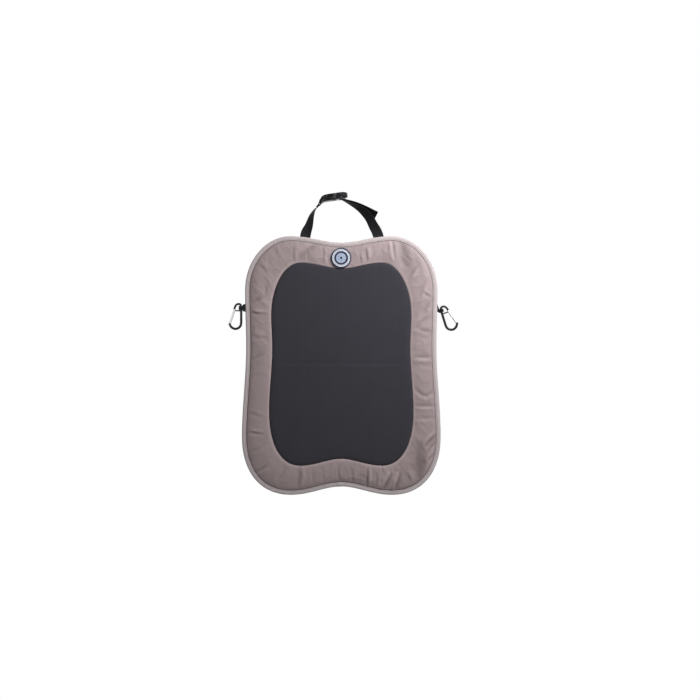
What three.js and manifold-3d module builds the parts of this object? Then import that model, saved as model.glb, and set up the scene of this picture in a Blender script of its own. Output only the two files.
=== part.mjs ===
// Car seat kick mat: a padded cover that hangs from the headrest posts on the back of a front seat.
// Millimetres. +X is the right side seen from the front, +Y points at the seat behind, +Z is up.
// The origin is in the middle of the flat back, so the mat lies in front of it, at negative Y.
import * as THREE from "three";
import { mergeVertices } from "three/addons/utils/BufferGeometryUtils.js";
import Module from "manifold-3d";

const wasm = await Module();
wasm.setup();

// Clearance between pieces that touch
const gap = 0.3;

// Mat outline
const matHeight = 492;
const upperWidth = 366;
const waistWidth = 362;
const lowerWidth = 378;
const upperDrop = 103;
const waistLevel = 35;
const lowerRise = 111;
const crestSpread = 192;
const topDip = 12.3;
const bottomDip = 16;
const topFullness = 0.55;
const bottomFullness = 0.62;

// Border of the front cover that shows round the centre panel
const sideBorder = 50;
const lowerSideBorder = 52;
const topBorder = 50.5;
const bottomBorder = 56;
const panelCrestSpread = 155;
const panelSideInset = 47;
const panelDipRise = 1.1;
const panelFootDrop = 3;
const panelShoulderInset = 8;

// Thicknesses of the layers
const coverThickness = 0.6;
const panelThickness = 1.2;
const bindingThickness = 0.9;
const bindingWidth = 8;
const webbingThickness = 1.2;
const lipRecess = 0.2;
const backStep = 4;
const foamInset = 18;

// Heights of the front, measured forward from the flat back
const puffHeight = 9.5;
const seamHeight = 6.2;
const panelFloor = 7.4;
const panelCrown = 0.5;
const badgeSeat = 8.2;
const creaseRoom = 1.7;

// Badge
const badgeRadius = 19.2;
const badgeThickness = 2.6;
const badgeDrop = 29.4;
const badgeFlat = 15;

// Webbing straps and the buckle that joins them
const strapWidth = 20;
const strapRootLeft = -68.6;
const strapRootRight = 70.7;
const seamDepth = 12;
const plugReach = 27;
const buckleWidth = 28;
const buckleThickness = 12.2;
const buckleOffset = -14.8;
const buckleHeight = 74.2;
const buckleRise = 8;
const railWidth = 3.3;
const socketWall = 1.8;
const jointFace = 5.4;
const strapBarRadius = 1.6;
const strapBarReach = 25.3;
const strapBarDrop = 5.2;
const strapEyeRadius = 2.9;
const slotBarFrom = 12.5;
const slotBarTo = 15.5;
const slotBarHalf = 1.5;
const slotRoom = 2.5;
const slotTurn = 1.3;
const turnInDrop = 3.6;
const turnOutDrop = 5.5;
const tailLength = 70.9;

// Slopes of the straps at the buckle, in its own frame, and of the tail
const leftSlope = 42;
const rightSlope = -34;
const tailSlope = -25.4;

// Way of each strap between its ends: share across, share up, turn. At turn 90 the webbing shows
// its face, at 0 its edge.
const leftWay = [
  [0.054, 0.133, 80],
  [0.254, 0.364, 52],
  [0.45, 0.673, 28],
  [0.69, 0.873, 10],
];
const rightWay = [
  [0.065, 0.172, 76],
  [0.151, 0.316, 64],
  [0.269, 0.519, 52],
  [0.487, 0.738, 36],
  [0.668, 0.845, 20],
];
const tailWay = [
  [0.1, 0.061, -3],
  [0.267, 0.205, -14],
  [0.439, 0.369, -24],
  [0.611, 0.56, -32],
  [0.798, 0.77, -37],
  [1, 1, -40],
];

// Side tabs and carabiners
const tabDrop = 136.4;
const tabWidth = 15;
const tabNeckWidth = 13.4;
const tabReach = 7.6;
const tapeThickness = 0.7;
const loopSlack = 1.5;
const rodRadius = 2.5;
const headRadius = 2.1;
const headRise = 8.4;
const hookDepth = 39.2;
const noseReach = 20.8;
const latchDrop = 26.8;
const hingeReach = 13.2;
const hingeDrop = 3.9;
const barHeight = 2.2;
const gateRadius = 2.2;
const gatePinRadius = 0.7;
const lugThickness = 1.8;
const springWire = 0.25;
const springTurns = 5;
const springReach = 13;
const springBore = 1.35;

// Rod of the carabiner: the bow in shares of the nose's reach and the hook's depth, the head in
// shares of the hinge's reach and the head's rise
const bowWay = [
  [0.985, 0.85],
  [0.8, 0.953],
  [0.515, 1],
  [0.226, 0.945],
  [0.046, 0.83],
  [0, 0.69],
];
const headWay = [
  [0, 0.4],
  [0.1, 0.82],
  [0.39, 1],
  [0.71, 0.79],
  [0.9, 0.31],
  [0.98, -0.14],
];

// How each carabiner hangs: its lean, how far it hangs below its tab, and the tab below its seam
const leftHang = { lean: 0, below: 0.8, sag: 0, loopFrom: -3.3 };
const rightHang = { lean: 17, below: 4.2, sag: 2.8, loopFrom: -1.5 };
const loopTo = 4.7;

const degrees = Math.PI / 180;

// Levels that follow from the sizes
const matTop = matHeight / 2;
const upperLevel = matTop - upperDrop;
const lowerLevel = lowerRise - matTop;
const tabLevel = matTop - tabDrop;
const badgeLevel = matTop - topDip - badgeDrop;
const buckleCentre = [buckleOffset, matTop + buckleHeight];

// Layers at the edge, counted forward from the back: lip, back cover, webbing, front cover, lip
const lipInside = lipRecess + bindingThickness;
const backMargin = lipInside + gap;
const webbingBack = backMargin + coverThickness + gap;
const webbingMiddle = webbingBack + webbingThickness / 2;
const frontMargin = webbingBack + webbingThickness + gap;
const frontMarginFace = frontMargin + coverThickness;
const lipFront = frontMarginFace + gap;
const lipFace = lipFront + bindingThickness;

const colours = {
  taupe: 0x93827f,
  binding: 0xb4a9a9,
  charcoal: 0x3a3940,
  foam: 0xd8d4cc,
  black: 0x17171a,
  navy: 0x22242c,
  steel: 0xb9bcc2,
};

function material(colour, roughness, metalness) {
  return new THREE.MeshStandardMaterial({ color: colour, roughness, metalness });
}

const fabric = material(colours.taupe, 0.75, 0);
const bindingTape = material(colours.binding, 0.7, 0);
const panelFabric = material(colours.charcoal, 0.9, 0);
const foam = material(colours.foam, 0.95, 0);
const webbing = material(colours.black, 0.8, 0);
const plastic = material(colours.black, 0.45, 0);
const rubber = material(colours.navy, 0.6, 0);
const blackMetal = material(colours.black, 0.35, 0.6);
const steel = material(colours.steel, 0.3, 1);

// Closed meshes and booleans

function bare(geometry) {
  const plain = geometry.clone();
  plain.deleteAttribute("normal");
  plain.deleteAttribute("uv");
  return mergeVertices(plain, 1e-4);
}

function solid(geometry) {
  const merged = bare(geometry);
  return new wasm.Manifold(
    new wasm.Mesh({
      numProp: 3,
      vertProperties: merged.attributes.position.array,
      triVerts: new Uint32Array(merged.index.array),
    }),
  );
}

function geometryOf(body) {
  const mesh = body.getMesh();
  const geometry = new THREE.BufferGeometry();
  geometry.setAttribute("position", new THREE.BufferAttribute(mesh.vertProperties, 3));
  geometry.setIndex(new THREE.BufferAttribute(mesh.triVerts, 1));
  return geometry;
}

function part(name, geometry, finish) {
  const mesh = new THREE.Mesh(geometry, finish);
  mesh.name = name;
  return mesh;
}

function enclosedVolume(position, index) {
  const corner = (k) => new THREE.Vector3().fromArray(position, 3 * index[k]);
  let sum = 0;
  for (let k = 0; k < index.length; k += 3) {
    sum += corner(k).dot(corner(k + 1).cross(corner(k + 2)));
  }
  return sum / 6;
}

// A closed surface through a stack of loops of vertices. Its ends are fans round the two given
// centres, or with no centres the last loop joins the first.
function skin(loops, centres) {
  const count = loops[0].length;
  const position = loops.flat().flatMap((p) => p.toArray());
  const index = [];
  const bands = centres ? loops.length - 1 : loops.length;
  for (let band = 0; band < bands; band++) {
    const here = band * count;
    const there = ((band + 1) % loops.length) * count;
    for (let i = 0; i < count; i++) {
      const j = (i + 1) % count;
      index.push(here + i, there + i, there + j, here + i, there + j, here + j);
    }
  }
  if (centres) {
    const last = (loops.length - 1) * count;
    const first = position.length / 3;
    centres.forEach((c) => position.push(...c.toArray()));
    for (let i = 0; i < count; i++) {
      const j = (i + 1) % count;
      index.push(first, i, j);
      index.push(first + 1, last + j, last + i);
    }
  }
  if (enclosedVolume(position, index) < 0) {
    index.reverse();
  }
  const geometry = new THREE.BufferGeometry();
  geometry.setAttribute("position", new THREE.Float32BufferAttribute(position, 3));
  geometry.setIndex(index);
  return geometry;
}

function box(x0, x1, y0, y1, z0, z1) {
  const shape = new THREE.BoxGeometry(x1 - x0, y1 - y0, z1 - z0);
  return shape.translate((x0 + x1) / 2, (y0 + y1) / 2, (z0 + z1) / 2);
}

// An outline drawn in X and Z, thickened evenly to both sides of Y = 0
function plateXZ(shape, thickness, curveSegments = 8) {
  const plate = new THREE.ExtrudeGeometry(shape, { depth: thickness, bevelEnabled: false, curveSegments });
  return plate.rotateX(Math.PI / 2).translate(0, thickness / 2, 0);
}

// An outline drawn in X and Y, thickened evenly to both sides of Z = 0
function plateXY(shape, thickness, curveSegments = 8) {
  const plate = new THREE.ExtrudeGeometry(shape, { depth: thickness, bevelEnabled: false, curveSegments });
  return plate.translate(0, 0, -thickness / 2);
}

function cylinderAlongY(radius, length, sides, x, z) {
  return new THREE.CylinderGeometry(radius, radius, length, sides).translate(x, 0, z);
}

// Outlines of the mat and of the panel

// Steps along each stretch of the right half, the same for every outline, so that points pair up
const stretchSteps = [7, 11, 6, 6, 11, 7];

function outlineLoop(o) {
  const half = [];
  const stretches = [
    [[0, o.topDip], [o.crest * 0.32, o.topDip], [o.crest * 0.62, o.top], [o.crest, o.top]],
    [
      [o.crest, o.top],
      [o.crest + topFullness * (o.upper - o.crest), o.top],
      [o.upper, o.upperLevel + topFullness * (o.top - o.upperLevel)],
      [o.upper, o.upperLevel],
    ],
    [
      [o.upper, o.upperLevel],
      [o.upper, (2 * o.upperLevel + o.waistLevel) / 3],
      [o.waist, (o.upperLevel + 2 * o.waistLevel) / 3],
      [o.waist, o.waistLevel],
    ],
    [
      [o.waist, o.waistLevel],
      [o.waist, (2 * o.waistLevel + o.lowerLevel) / 3],
      [o.lower, (o.waistLevel + 2 * o.lowerLevel) / 3],
      [o.lower, o.lowerLevel],
    ],
    [
      [o.lower, o.lowerLevel],
      [o.lower, o.lowerLevel + bottomFullness * (o.bottom - o.lowerLevel)],
      [o.crest + bottomFullness * (o.lower - o.crest), o.bottom],
      [o.crest, o.bottom],
    ],
    [[o.crest, o.bottom], [o.crest * 0.62, o.bottom], [o.crest * 0.32, o.bottomDip], [0, o.bottomDip]],
  ];
  stretches.forEach((corners, k) => {
    const curve = new THREE.CubicBezierCurve(...corners.map(([x, z]) => new THREE.Vector2(x, z)));
    half.push(...curve.getPoints(stretchSteps[k]).slice(0, -1));
  });
  const bottomMiddle = new THREE.Vector2(0, o.bottomDip);
  const mirrored = half.slice(1).map((p) => new THREE.Vector2(-p.x, p.y));
  return [...half, bottomMiddle, ...mirrored.reverse()];
}

function inset(loop, distance) {
  const count = loop.length;
  return loop.map((p, i) => {
    const along = loop[(i + 1) % count].clone().sub(loop[(i + count - 1) % count]).normalize();
    return new THREE.Vector2(p.x + along.y * distance, p.y - along.x * distance);
  });
}

function between(loopA, loopB, share) {
  return loopA.map((p, i) => p.clone().lerp(loopB[i], share));
}

function raised(loop, height) {
  return loop.map((p, i) => {
    const h = typeof height === "number" ? height : height(p, i);
    return new THREE.Vector3(p.x, -h, p.y);
  });
}

function middle(height) {
  return new THREE.Vector3(0, -height, 0);
}

const matLoop = outlineLoop({
  topDip: matTop - topDip,
  top: matTop,
  crest: crestSpread / 2,
  upper: upperWidth / 2,
  upperLevel,
  waist: waistWidth / 2,
  waistLevel,
  lower: lowerWidth / 2,
  lowerLevel,
  bottom: -matTop,
  bottomDip: bottomDip - matTop,
});

const panelLoop = outlineLoop({
  topDip: matTop - topDip - topBorder + panelDipRise,
  top: matTop - topBorder,
  crest: panelCrestSpread / 2,
  upper: upperWidth / 2 - sideBorder,
  upperLevel: upperLevel - panelSideInset,
  waist: waistWidth / 2 - sideBorder,
  waistLevel,
  lower: lowerWidth / 2 - lowerSideBorder,
  lowerLevel: lowerLevel + panelSideInset,
  bottom: bottomBorder - matTop,
  bottomDip: bottomBorder + bottomDip - matTop - panelFootDrop,
});

const lipLoop = inset(matLoop, bindingWidth + gap);
const rimLoop = inset(matLoop, bindingThickness + gap);
const panelShoulder = inset(panelLoop, panelShoulderInset);
const panelCore = panelLoop.map((p) => p.clone().multiplyScalar(0.5));

// Creases of the front border: place along the loop, width in steps of the loop, depth
const creases = [
  [3.5, 1.4, 1.0],
  [9.2, 1.3, 1.3],
  [12.6, 1.2, 1.4],
  [16.5, 1.6, 1.0],
  [24.3, 1.5, 0.8],
  [31.0, 1.4, 1.0],
  [35.2, 1.0, 1.4],
  [37.6, 1.1, 1.4],
  [40.3, 1.1, 1.4],
  [43.4, 1.3, 1.2],
  [46.2, 1.4, 0.9],
  [51.8, 1.5, 1.0],
  [57.4, 1.3, 1.2],
  [60.8, 1.2, 1.2],
  [66.5, 1.6, 0.9],
  [74.8, 1.5, 0.8],
  [82.0, 1.3, 1.2],
  [85.6, 1.3, 1.3],
  [90.8, 1.4, 1.0],
];

function creaseDepth(i) {
  const count = matLoop.length;
  return creases.reduce((deepest, [place, width, depth]) => {
    const apart = Math.abs(i - place);
    const away = Math.min(apart, count - apart) / width;
    return Math.max(deepest, depth * Math.exp(-away * away));
  }, 0);
}

// Height of the front cover's face across the border: 0 at the panel's seam, 1 at the binding
function borderHeight(share) {
  const base = THREE.MathUtils.lerp(seamHeight, frontMarginFace, share);
  const swell = Math.sin(Math.PI * share) ** 0.6;
  return (p, i) => {
    const height = base + (puffHeight - base) * swell - creaseDepth(i) * swell;
    const nearBadge = Math.hypot(p.x, p.y - badgeLevel) < badgeRadius + badgeFlat;
    return nearBadge ? Math.min(height, badgeSeat) : height;
  };
}

function borderLoop(share) {
  return between(panelLoop, lipLoop, share);
}

function frontCover() {
  const face = [
    raised(panelCore, panelFloor),
    raised(panelShoulder, panelFloor),
    raised(panelLoop, seamHeight),
    ...[0.12, 0.35, 0.65, 0.88].map((share) => raised(borderLoop(share), borderHeight(share))),
    raised(lipLoop, frontMarginFace),
    raised(rimLoop, frontMarginFace),
  ];
  const inside = [
    raised(rimLoop, frontMargin),
    raised(lipLoop, frontMargin),
    raised(borderLoop(0.5), puffHeight - creaseRoom - coverThickness),
    raised(panelLoop, seamHeight - coverThickness),
  ];
  const centres = [middle(panelFloor), middle(panelFloor - coverThickness)];
  return skin([...face, ...inside], centres);
}

function foamPad() {
  const back = coverThickness + gap;
  const rim = inset(matLoop, foamInset);
  const loops = [
    raised(panelLoop, seamHeight - coverThickness - gap),
    raised(borderLoop(0.5), puffHeight - creaseRoom - coverThickness - gap),
    raised(rim, frontMargin + gap),
    raised(rim, back),
  ];
  return skin(loops, [middle(panelFloor - coverThickness - gap), middle(back)]);
}

function backCover() {
  const stepLoop = inset(matLoop, bindingWidth + backStep);
  const loops = [
    raised(stepLoop, 0),
    raised(lipLoop, backMargin),
    raised(rimLoop, backMargin),
    raised(rimLoop, backMargin + coverThickness),
    raised(lipLoop, backMargin + coverThickness),
    raised(stepLoop, coverThickness),
  ];
  return skin(loops, [middle(0), middle(coverThickness)]);
}

function centrePanel() {
  const under = gap;
  const over = gap + panelThickness;
  const loops = [
    raised(panelCore, panelFloor + over + panelCrown * 0.7),
    raised(panelShoulder, panelFloor + over),
    raised(panelLoop, seamHeight + over),
    raised(panelLoop, seamHeight + under),
    raised(panelShoulder, panelFloor + under),
    raised(panelCore, panelFloor + under),
  ];
  return skin(loops, [middle(panelFloor + over + panelCrown), middle(panelFloor + under)]);
}

// Tape folded over the edge, with a slit wherever webbing comes out of the seam
function edgeBinding(slits) {
  const section = [
    [bindingWidth, lipFace],
    [bindingThickness, lipFace],
    [0, lipFace - bindingThickness],
    [0, lipRecess + bindingThickness],
    [bindingThickness, lipRecess],
    [bindingWidth, lipRecess],
    [bindingWidth, lipInside],
    [bindingThickness, lipInside],
    [bindingThickness, lipFront],
    [bindingWidth, lipFront],
  ];
  const loops = section.map(([depth, height]) => raised(inset(matLoop, depth), height));
  return geometryOf(slits.reduce((tape, slit) => tape.subtract(solid(slit)), solid(skin(loops))));
}

// A slit for webbing of one width, centred where the webbing crosses the mat's edge
function seamSlit(width) {
  const half = width / 2 + gap;
  const deep = webbingThickness / 2 + gap;
  const across = bindingWidth + 1;
  return box(-half, half, -deep, deep, -across, across);
}

// Round badge: raised rim, recessed ring, inner rim and a low dome
function badge() {
  const profile = [
    [0, 0],
    [badgeRadius - 0.6, 0],
    [badgeRadius, 0.6],
    [badgeRadius, badgeThickness - 0.5],
    [badgeRadius - 0.7, badgeThickness],
    [badgeRadius - 2.2, badgeThickness],
    [badgeRadius - 2.9, badgeThickness - 0.7],
    [badgeRadius - 7.1, badgeThickness - 0.7],
    [badgeRadius - 7.6, badgeThickness - 0.1],
    [badgeRadius - 8.8, badgeThickness - 0.1],
    [badgeRadius - 9.4, badgeThickness - 0.6],
    [5, badgeThickness - 0.2],
    [0, badgeThickness],
  ];
  const points = profile.map(([r, h]) => new THREE.Vector2(r, h));
  const disc = new THREE.LatheGeometry(points, 30).rotateX(Math.PI);
  return disc.translate(0, -(badgeSeat + gap), badgeLevel);
}

// Flat webbing through stations, each with a centre, the direction across it and its width
function ribbon(stations, thickness) {
  const loops = stations.map(({ at, across, width }, k) => {
    const before = stations[Math.max(k - 1, 0)].at;
    const after = stations[Math.min(k + 1, stations.length - 1)].at;
    const along = after.clone().sub(before).normalize();
    const side = across.clone().addScaledVector(along, -across.dot(along)).normalize();
    const face = along.clone().cross(side);
    const corner = (s, f) =>
      at.clone().addScaledVector(side, (s * width) / 2).addScaledVector(face, (f * thickness) / 2);
    return [corner(1, 1), corner(-1, 1), corner(-1, -1), corner(1, -1)];
  });
  return skin(loops, [stations[0].at, stations.at(-1).at]);
}

// Stations from points of X, Z and turn
function turnedStations(points) {
  return points.map((p, k) => {
    const before = points[Math.max(k - 1, 0)];
    const after = points[Math.min(k + 1, points.length - 1)];
    const along = new THREE.Vector2(after.x - before.x, after.y - before.y).normalize();
    const turn = p.z * degrees;
    const across = new THREE.Vector3(-along.y * Math.sin(turn), Math.cos(turn), along.x * Math.sin(turn));
    return { at: new THREE.Vector3(p.x, -webbingMiddle, p.y), across, width: strapWidth };
  });
}

function smooth(points, steps) {
  const curve = new THREE.CatmullRomCurve3(points.map((p) => new THREE.Vector3(...p)));
  return curve.getPoints(steps);
}

function arc(cx, cz, radius, from, to, steps) {
  return Array.from({ length: steps + 1 }, (_, k) => {
    const angle = (from + ((to - from) * k) / steps) * degrees;
    return [cx + radius * Math.cos(angle), cz + radius * Math.sin(angle)];
  });
}

// Places of the buckle's own frame, with X along it to the plug and Z across its thickness
function fromBuckle([x, z]) {
  const rise = buckleRise * degrees;
  return [
    buckleCentre[0] + x * Math.cos(rise) - z * Math.sin(rise),
    buckleCentre[1] + x * Math.sin(rise) + z * Math.cos(rise),
    0,
  ];
}

// Furthest place of the mat's edge in one direction, where it crosses a value of the other
function edgeAcross(along, out, value) {
  return matLoop.reduce((furthest, p, i) => {
    const q = matLoop[(i + 1) % matLoop.length];
    const share = (value - p[along]) / (q[along] - p[along]);
    return share >= 0 && share <= 1 ? Math.max(furthest, p[out] + share * (q[out] - p[out])) : furthest;
  }, -Infinity);
}

const edgeAbove = (x) => edgeAcross("x", "y", x);
const sideAt = (level) => edgeAcross("y", "x", level);

// Where a strap's end in the seam crosses the mat's edge
const rootLeft = [strapRootLeft, edgeAbove(strapRootLeft)];
const rootRight = [strapRootRight, edgeAbove(strapRootRight)];

// Points of X, Z and turn between two ends, from shares of the way across and up
function wayPoints(from, to, shares) {
  return shares.map(([across, up, turn]) => [
    from[0] + across * (to[0] - from[0]),
    from[1] + up * (to[1] - from[1]),
    turn,
  ]);
}

// The left strap goes round the socket's bar from below and folds back on itself
function strapLeft() {
  const turnRadius = strapBarRadius + gap + webbingThickness / 2;
  const bar = [-strapBarReach, -strapBarDrop];
  const slope = leftSlope * degrees;
  const leg = (reach, above, turn) => {
    const lift = above - turnRadius;
    const [x, z] = fromBuckle([
      bar[0] - lift * Math.sin(slope) - reach * Math.cos(slope),
      bar[1] + lift * Math.cos(slope) - reach * Math.sin(slope),
    ]);
    return [x, z, turn];
  };
  const legEnd = leg(6, 0, 0);
  const rise = smooth(
    [
      [rootLeft[0], rootLeft[1] - seamDepth, 90],
      [...rootLeft, 90],
      ...wayPoints(rootLeft, legEnd, leftWay),
      legEnd,
    ],
    22,
  );
  const bend = arc(...bar, turnRadius, leftSlope - 90, leftSlope + 90, 6).map(fromBuckle);
  const foldBack = [leg(6.5, 2.4, 0), leg(9, 1.7, 2), leg(13, 1.6, 5)];
  const loop = [...bend, ...foldBack].map((p) => new THREE.Vector3(...p));
  return ribbon(turnedStations([...rise, ...loop]), webbingThickness);
}

// The right strap goes up through the ladder lock's first slot, over its bar and down the second,
// and its tail lies over it
function strapRight() {
  const clear = gap + webbingThickness / 2;
  const slope = rightSlope * degrees;
  const left = slotBarFrom - clear;
  const right = slotBarTo + clear;
  const turnIn = arc(left + slotTurn, -turnInDrop, slotTurn, 270 + rightSlope, 180, 3);
  const legPoint = (reach) =>
    fromBuckle([turnIn[0][0] + reach * Math.cos(slope), turnIn[0][1] + reach * Math.sin(slope)]);
  const rise = smooth(
    [
      [rootRight[0] + 0.6, rootRight[1] - seamDepth, 90],
      [...rootRight, 90],
      ...wayPoints(rootRight, legPoint(9), rightWay),
      legPoint(9),
    ],
    24,
  );
  const over = [
    ...turnIn,
    ...arc(slotBarFrom, slotBarHalf, clear, 180, 90, 3),
    ...arc(slotBarTo, slotBarHalf, clear, 90, 0, 3),
    ...arc(right + slotTurn, -turnOutDrop, slotTurn, 180, 270 + rightSlope, 3),
  ].map(fromBuckle);
  const exit = over.at(-1);
  const tailEnd = [
    exit[0] + tailLength * Math.cos(tailSlope * degrees),
    exit[1] + tailLength * Math.sin(tailSlope * degrees),
  ];
  const tail = smooth(wayPoints(exit, tailEnd, tailWay), 9);
  const loop = [legPoint(1.2), ...over].map((p) => new THREE.Vector3(...p));
  return ribbon(turnedStations([...rise, ...loop, ...tail]), webbingThickness);
}

// Side-release buckle, each half drawn in the buckle's frame

function filled(shape, points) {
  points.forEach(([x, z], k) => (k ? shape.lineTo(x, z) : shape.moveTo(x, z)));
  return shape;
}

function buckleOutline(x0, x1, end, full, corner) {
  const shape = new THREE.Shape();
  shape.moveTo(x0 + corner, -end);
  shape.lineTo(x1, -full);
  shape.lineTo(x1, full);
  shape.lineTo(x0 + corner, end);
  shape.absarc(x0 + corner, end - corner, corner, Math.PI / 2, Math.PI, false);
  shape.absarc(x0 + corner, corner - end, corner, Math.PI, 1.5 * Math.PI, false);
  return plateXY(shape, 3 * buckleThickness, 4);
}

// Side view of the socket: its strap end turns down to the bar
function socketProfile() {
  const full = buckleThickness / 2;
  const shape = new THREE.Shape();
  const [barX, barZ] = [-strapBarReach, -strapBarDrop];
  shape.moveTo(jointFace, -full);
  shape.lineTo(jointFace, full);
  shape.lineTo(-9, full);
  shape.quadraticCurveTo(-17, full - 0.2, barX + 3.8, full - 2.4);
  shape.lineTo(barX + strapEyeRadius * Math.cos(2.45), barZ + strapEyeRadius * Math.sin(2.45));
  shape.absarc(barX, barZ, strapEyeRadius, 2.45, 5.2, false);
  shape.quadraticCurveTo(-19, 0.3 - full, -9, -full);
  return plateXZ(shape, buckleWidth + 2, 7);
}

function buckleSocket() {
  const left = -strapBarReach - strapEyeRadius;
  const half = buckleWidth / 2;
  const inside = half - socketWall - gap;
  const roof = buckleThickness / 2 - socketWall;
  const windowHalf = roof - 0.9;
  const shell = solid(socketProfile()).intersect(
    solid(buckleOutline(left, jointFace, half - 1.4, half, 3)),
  );
  const openEnd = half - railWidth;
  const slotTo = -strapBarReach + strapBarRadius + 2 * gap + webbingThickness + 0.2;
  const cuts = [
    box(jointFace - 21, jointFace + 1, -inside, inside, -roof, roof),
    box(jointFace - 14.5, jointFace - 3.5, -half - 1, half + 1, -windowHalf, windowHalf),
    box(left - 1, slotTo, -openEnd, openEnd, -buckleThickness - 4, buckleThickness),
  ];
  const bar = cylinderAlongY(strapBarRadius, 2 * openEnd + 2, 12, -strapBarReach, -strapBarDrop);
  return geometryOf(cuts.reduce((body, cut) => body.subtract(solid(cut)), shell).add(solid(bar)));
}

// One spring arm of the plug, with its thumb pad in the socket's window
function plugArm(side) {
  const half = buckleWidth / 2;
  const shape = new THREE.Shape();
  shape.moveTo(jointFace + 1.5, 6.4 * side);
  shape.lineTo(jointFace + 1.5, 10.2 * side);
  shape.lineTo(jointFace - 3.8, 10.9 * side);
  shape.lineTo(jointFace - 3.8, (half - 0.5) * side);
  shape.quadraticCurveTo(jointFace - 10, (half - 0.2) * side, jointFace - 14.1, (half - 2.4) * side);
  shape.lineTo(jointFace - 16.4, 9.6 * side);
  shape.quadraticCurveTo(jointFace - 10, 9.2 * side, jointFace - 5, 8.0 * side);
  return plateXY(shape, 2 * (buckleThickness / 2 - 3.1), 6);
}

// Tongue of the plug that slides in the middle of the socket
function plugGuide() {
  const shape = new THREE.Shape();
  shape.moveTo(jointFace + 1.5, -2.6);
  shape.lineTo(jointFace + 1.5, 2.6);
  shape.lineTo(jointFace - 15, 2.0);
  shape.absarc(jointFace - 15, 0, 2.0, Math.PI / 2, 1.5 * Math.PI, false);
  return plateXY(shape, 4.6, 4);
}

// Side view of the plug's block: full height at the joint, lower and rounded at the strap's end
function plugProfile() {
  const full = buckleThickness / 2;
  const shape = new THREE.Shape();
  shape.moveTo(jointFace + gap, full);
  shape.lineTo(jointFace + gap, -full);
  shape.lineTo(14.3, -full);
  shape.quadraticCurveTo(21, -full, plugReach - 1.6, -3.9);
  shape.quadraticCurveTo(plugReach, -3.4, plugReach, -1.8);
  shape.lineTo(plugReach, 1.8);
  shape.quadraticCurveTo(plugReach, 3.4, plugReach - 1.6, 3.9);
  shape.quadraticCurveTo(21, full, 14.3, full);
  return plateXZ(shape, buckleWidth + 2, 4);
}

function bucklePlug() {
  const half = buckleWidth / 2;
  const outline = buckleOutline(-plugReach, -jointFace - gap, half - 1.2, half, 3.4);
  const block = solid(plugProfile()).intersect(solid(outline.rotateZ(Math.PI)));
  const openEnd = half - railWidth;
  const slotFrom = slotBarFrom - slotRoom;
  const slotTo = slotBarTo + slotRoom;
  const slots = box(slotFrom, slotTo, -openEnd, openEnd, -buckleThickness, buckleThickness);
  const bar = box(slotBarFrom, slotBarTo, -openEnd - 1, openEnd + 1, -slotBarHalf, slotBarHalf);
  const pieces = [bar, plugArm(1), plugArm(-1), plugGuide()];
  return geometryOf(pieces.reduce((body, piece) => body.add(solid(piece)), block.subtract(solid(slots))));
}

// Side tab and carabiner, drawn with X away from the mat, Z up and the origin on the middle line
// of the carabiner's spine

const loopInside = rodRadius + gap;
const loopOutside = loopInside + tapeThickness;

// The carabiners hang beside the widest part of the edge next to them, so that they swing freely
const seamX = sideAt(tabLevel);
const besideLevels = [headRise + rodRadius, 0, -hookDepth - rodRadius].map((away) => tabLevel + away);
const hangX = Math.max(...besideLevels.map(sideAt)) + tabReach;
const reach = hangX - seamX;

function tabSection() {
  const flat = webbingThickness / 2;
  const neck = loopOutside + 3;
  const tangent = Math.PI - Math.acos(loopOutside / neck) * 0.82;
  const right = Math.PI / 2;
  const shape = new THREE.Shape();
  shape.moveTo(-reach - seamDepth, -flat);
  shape.lineTo(-neck, -flat);
  shape.absarc(0, 0, loopOutside, -tangent, -right, false);
  shape.absarc(loopSlack, 0, loopOutside, -right, right, false);
  shape.absarc(0, 0, loopOutside, right, tangent, false);
  shape.lineTo(-neck, flat);
  shape.lineTo(-reach - seamDepth, flat);
  const opening = new THREE.Path();
  opening.moveTo(1.6 - neck, 0);
  opening.lineTo(loopInside * Math.cos(tangent), loopInside * Math.sin(tangent));
  opening.absarc(0, 0, loopInside, tangent, right, true);
  opening.absarc(loopSlack, 0, loopInside, right, -right, true);
  opening.absarc(0, 0, loopInside, -right, -tangent, true);
  shape.holes.push(opening);
  return plateXY(shape, 4 * tabWidth, 5);
}

// Webbing from the seam to the spine, gathered there to the room in the carabiner's eye
function sideTab(hang) {
  const straight = 0.5 - reach;
  const gathered = -rodRadius - 0.6;
  const through = 0.3 - rodRadius;
  const end = loopOutside + loopSlack + 1;
  const upper = [
    [-reach - seamDepth - 1, hang.below + tabWidth / 2],
    [straight, hang.below + tabWidth / 2],
    [gathered, hang.below + tabNeckWidth / 2],
    [through, loopTo],
    [end, loopTo],
  ];
  const lower = [
    [end, hang.loopFrom],
    [through, hang.loopFrom],
    [gathered, hang.below - tabNeckWidth / 2],
    [straight, hang.below - tabWidth / 2],
    [-reach - seamDepth - 1, hang.below - tabWidth / 2],
  ];
  const taper = filled(new THREE.Shape(), [...upper, ...lower]);
  const loop = solid(tabSection()).intersect(solid(plateXZ(taper, 2 * loopOutside + 2)));
  return drooping(geometryOf(loop), hang, straight, gathered);
}

// The webbing between the seam and the loop skews, so that the loop follows the rod's lean
function drooping(geometry, { lean, below, sag }, straight, gathered) {
  const position = geometry.attributes.position;
  for (let k = 0; k < position.count; k++) {
    const x = position.getX(k);
    const z = position.getZ(k);
    const share = THREE.MathUtils.clamp((x - straight) / (gathered - straight), 0, 1);
    const turn = share * lean * degrees;
    position.setX(k, x * Math.cos(turn) - z * Math.sin(turn));
    position.setZ(k, x * Math.sin(turn) + z * Math.cos(turn) - below - share * sag);
  }
  return geometry;
}

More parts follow.
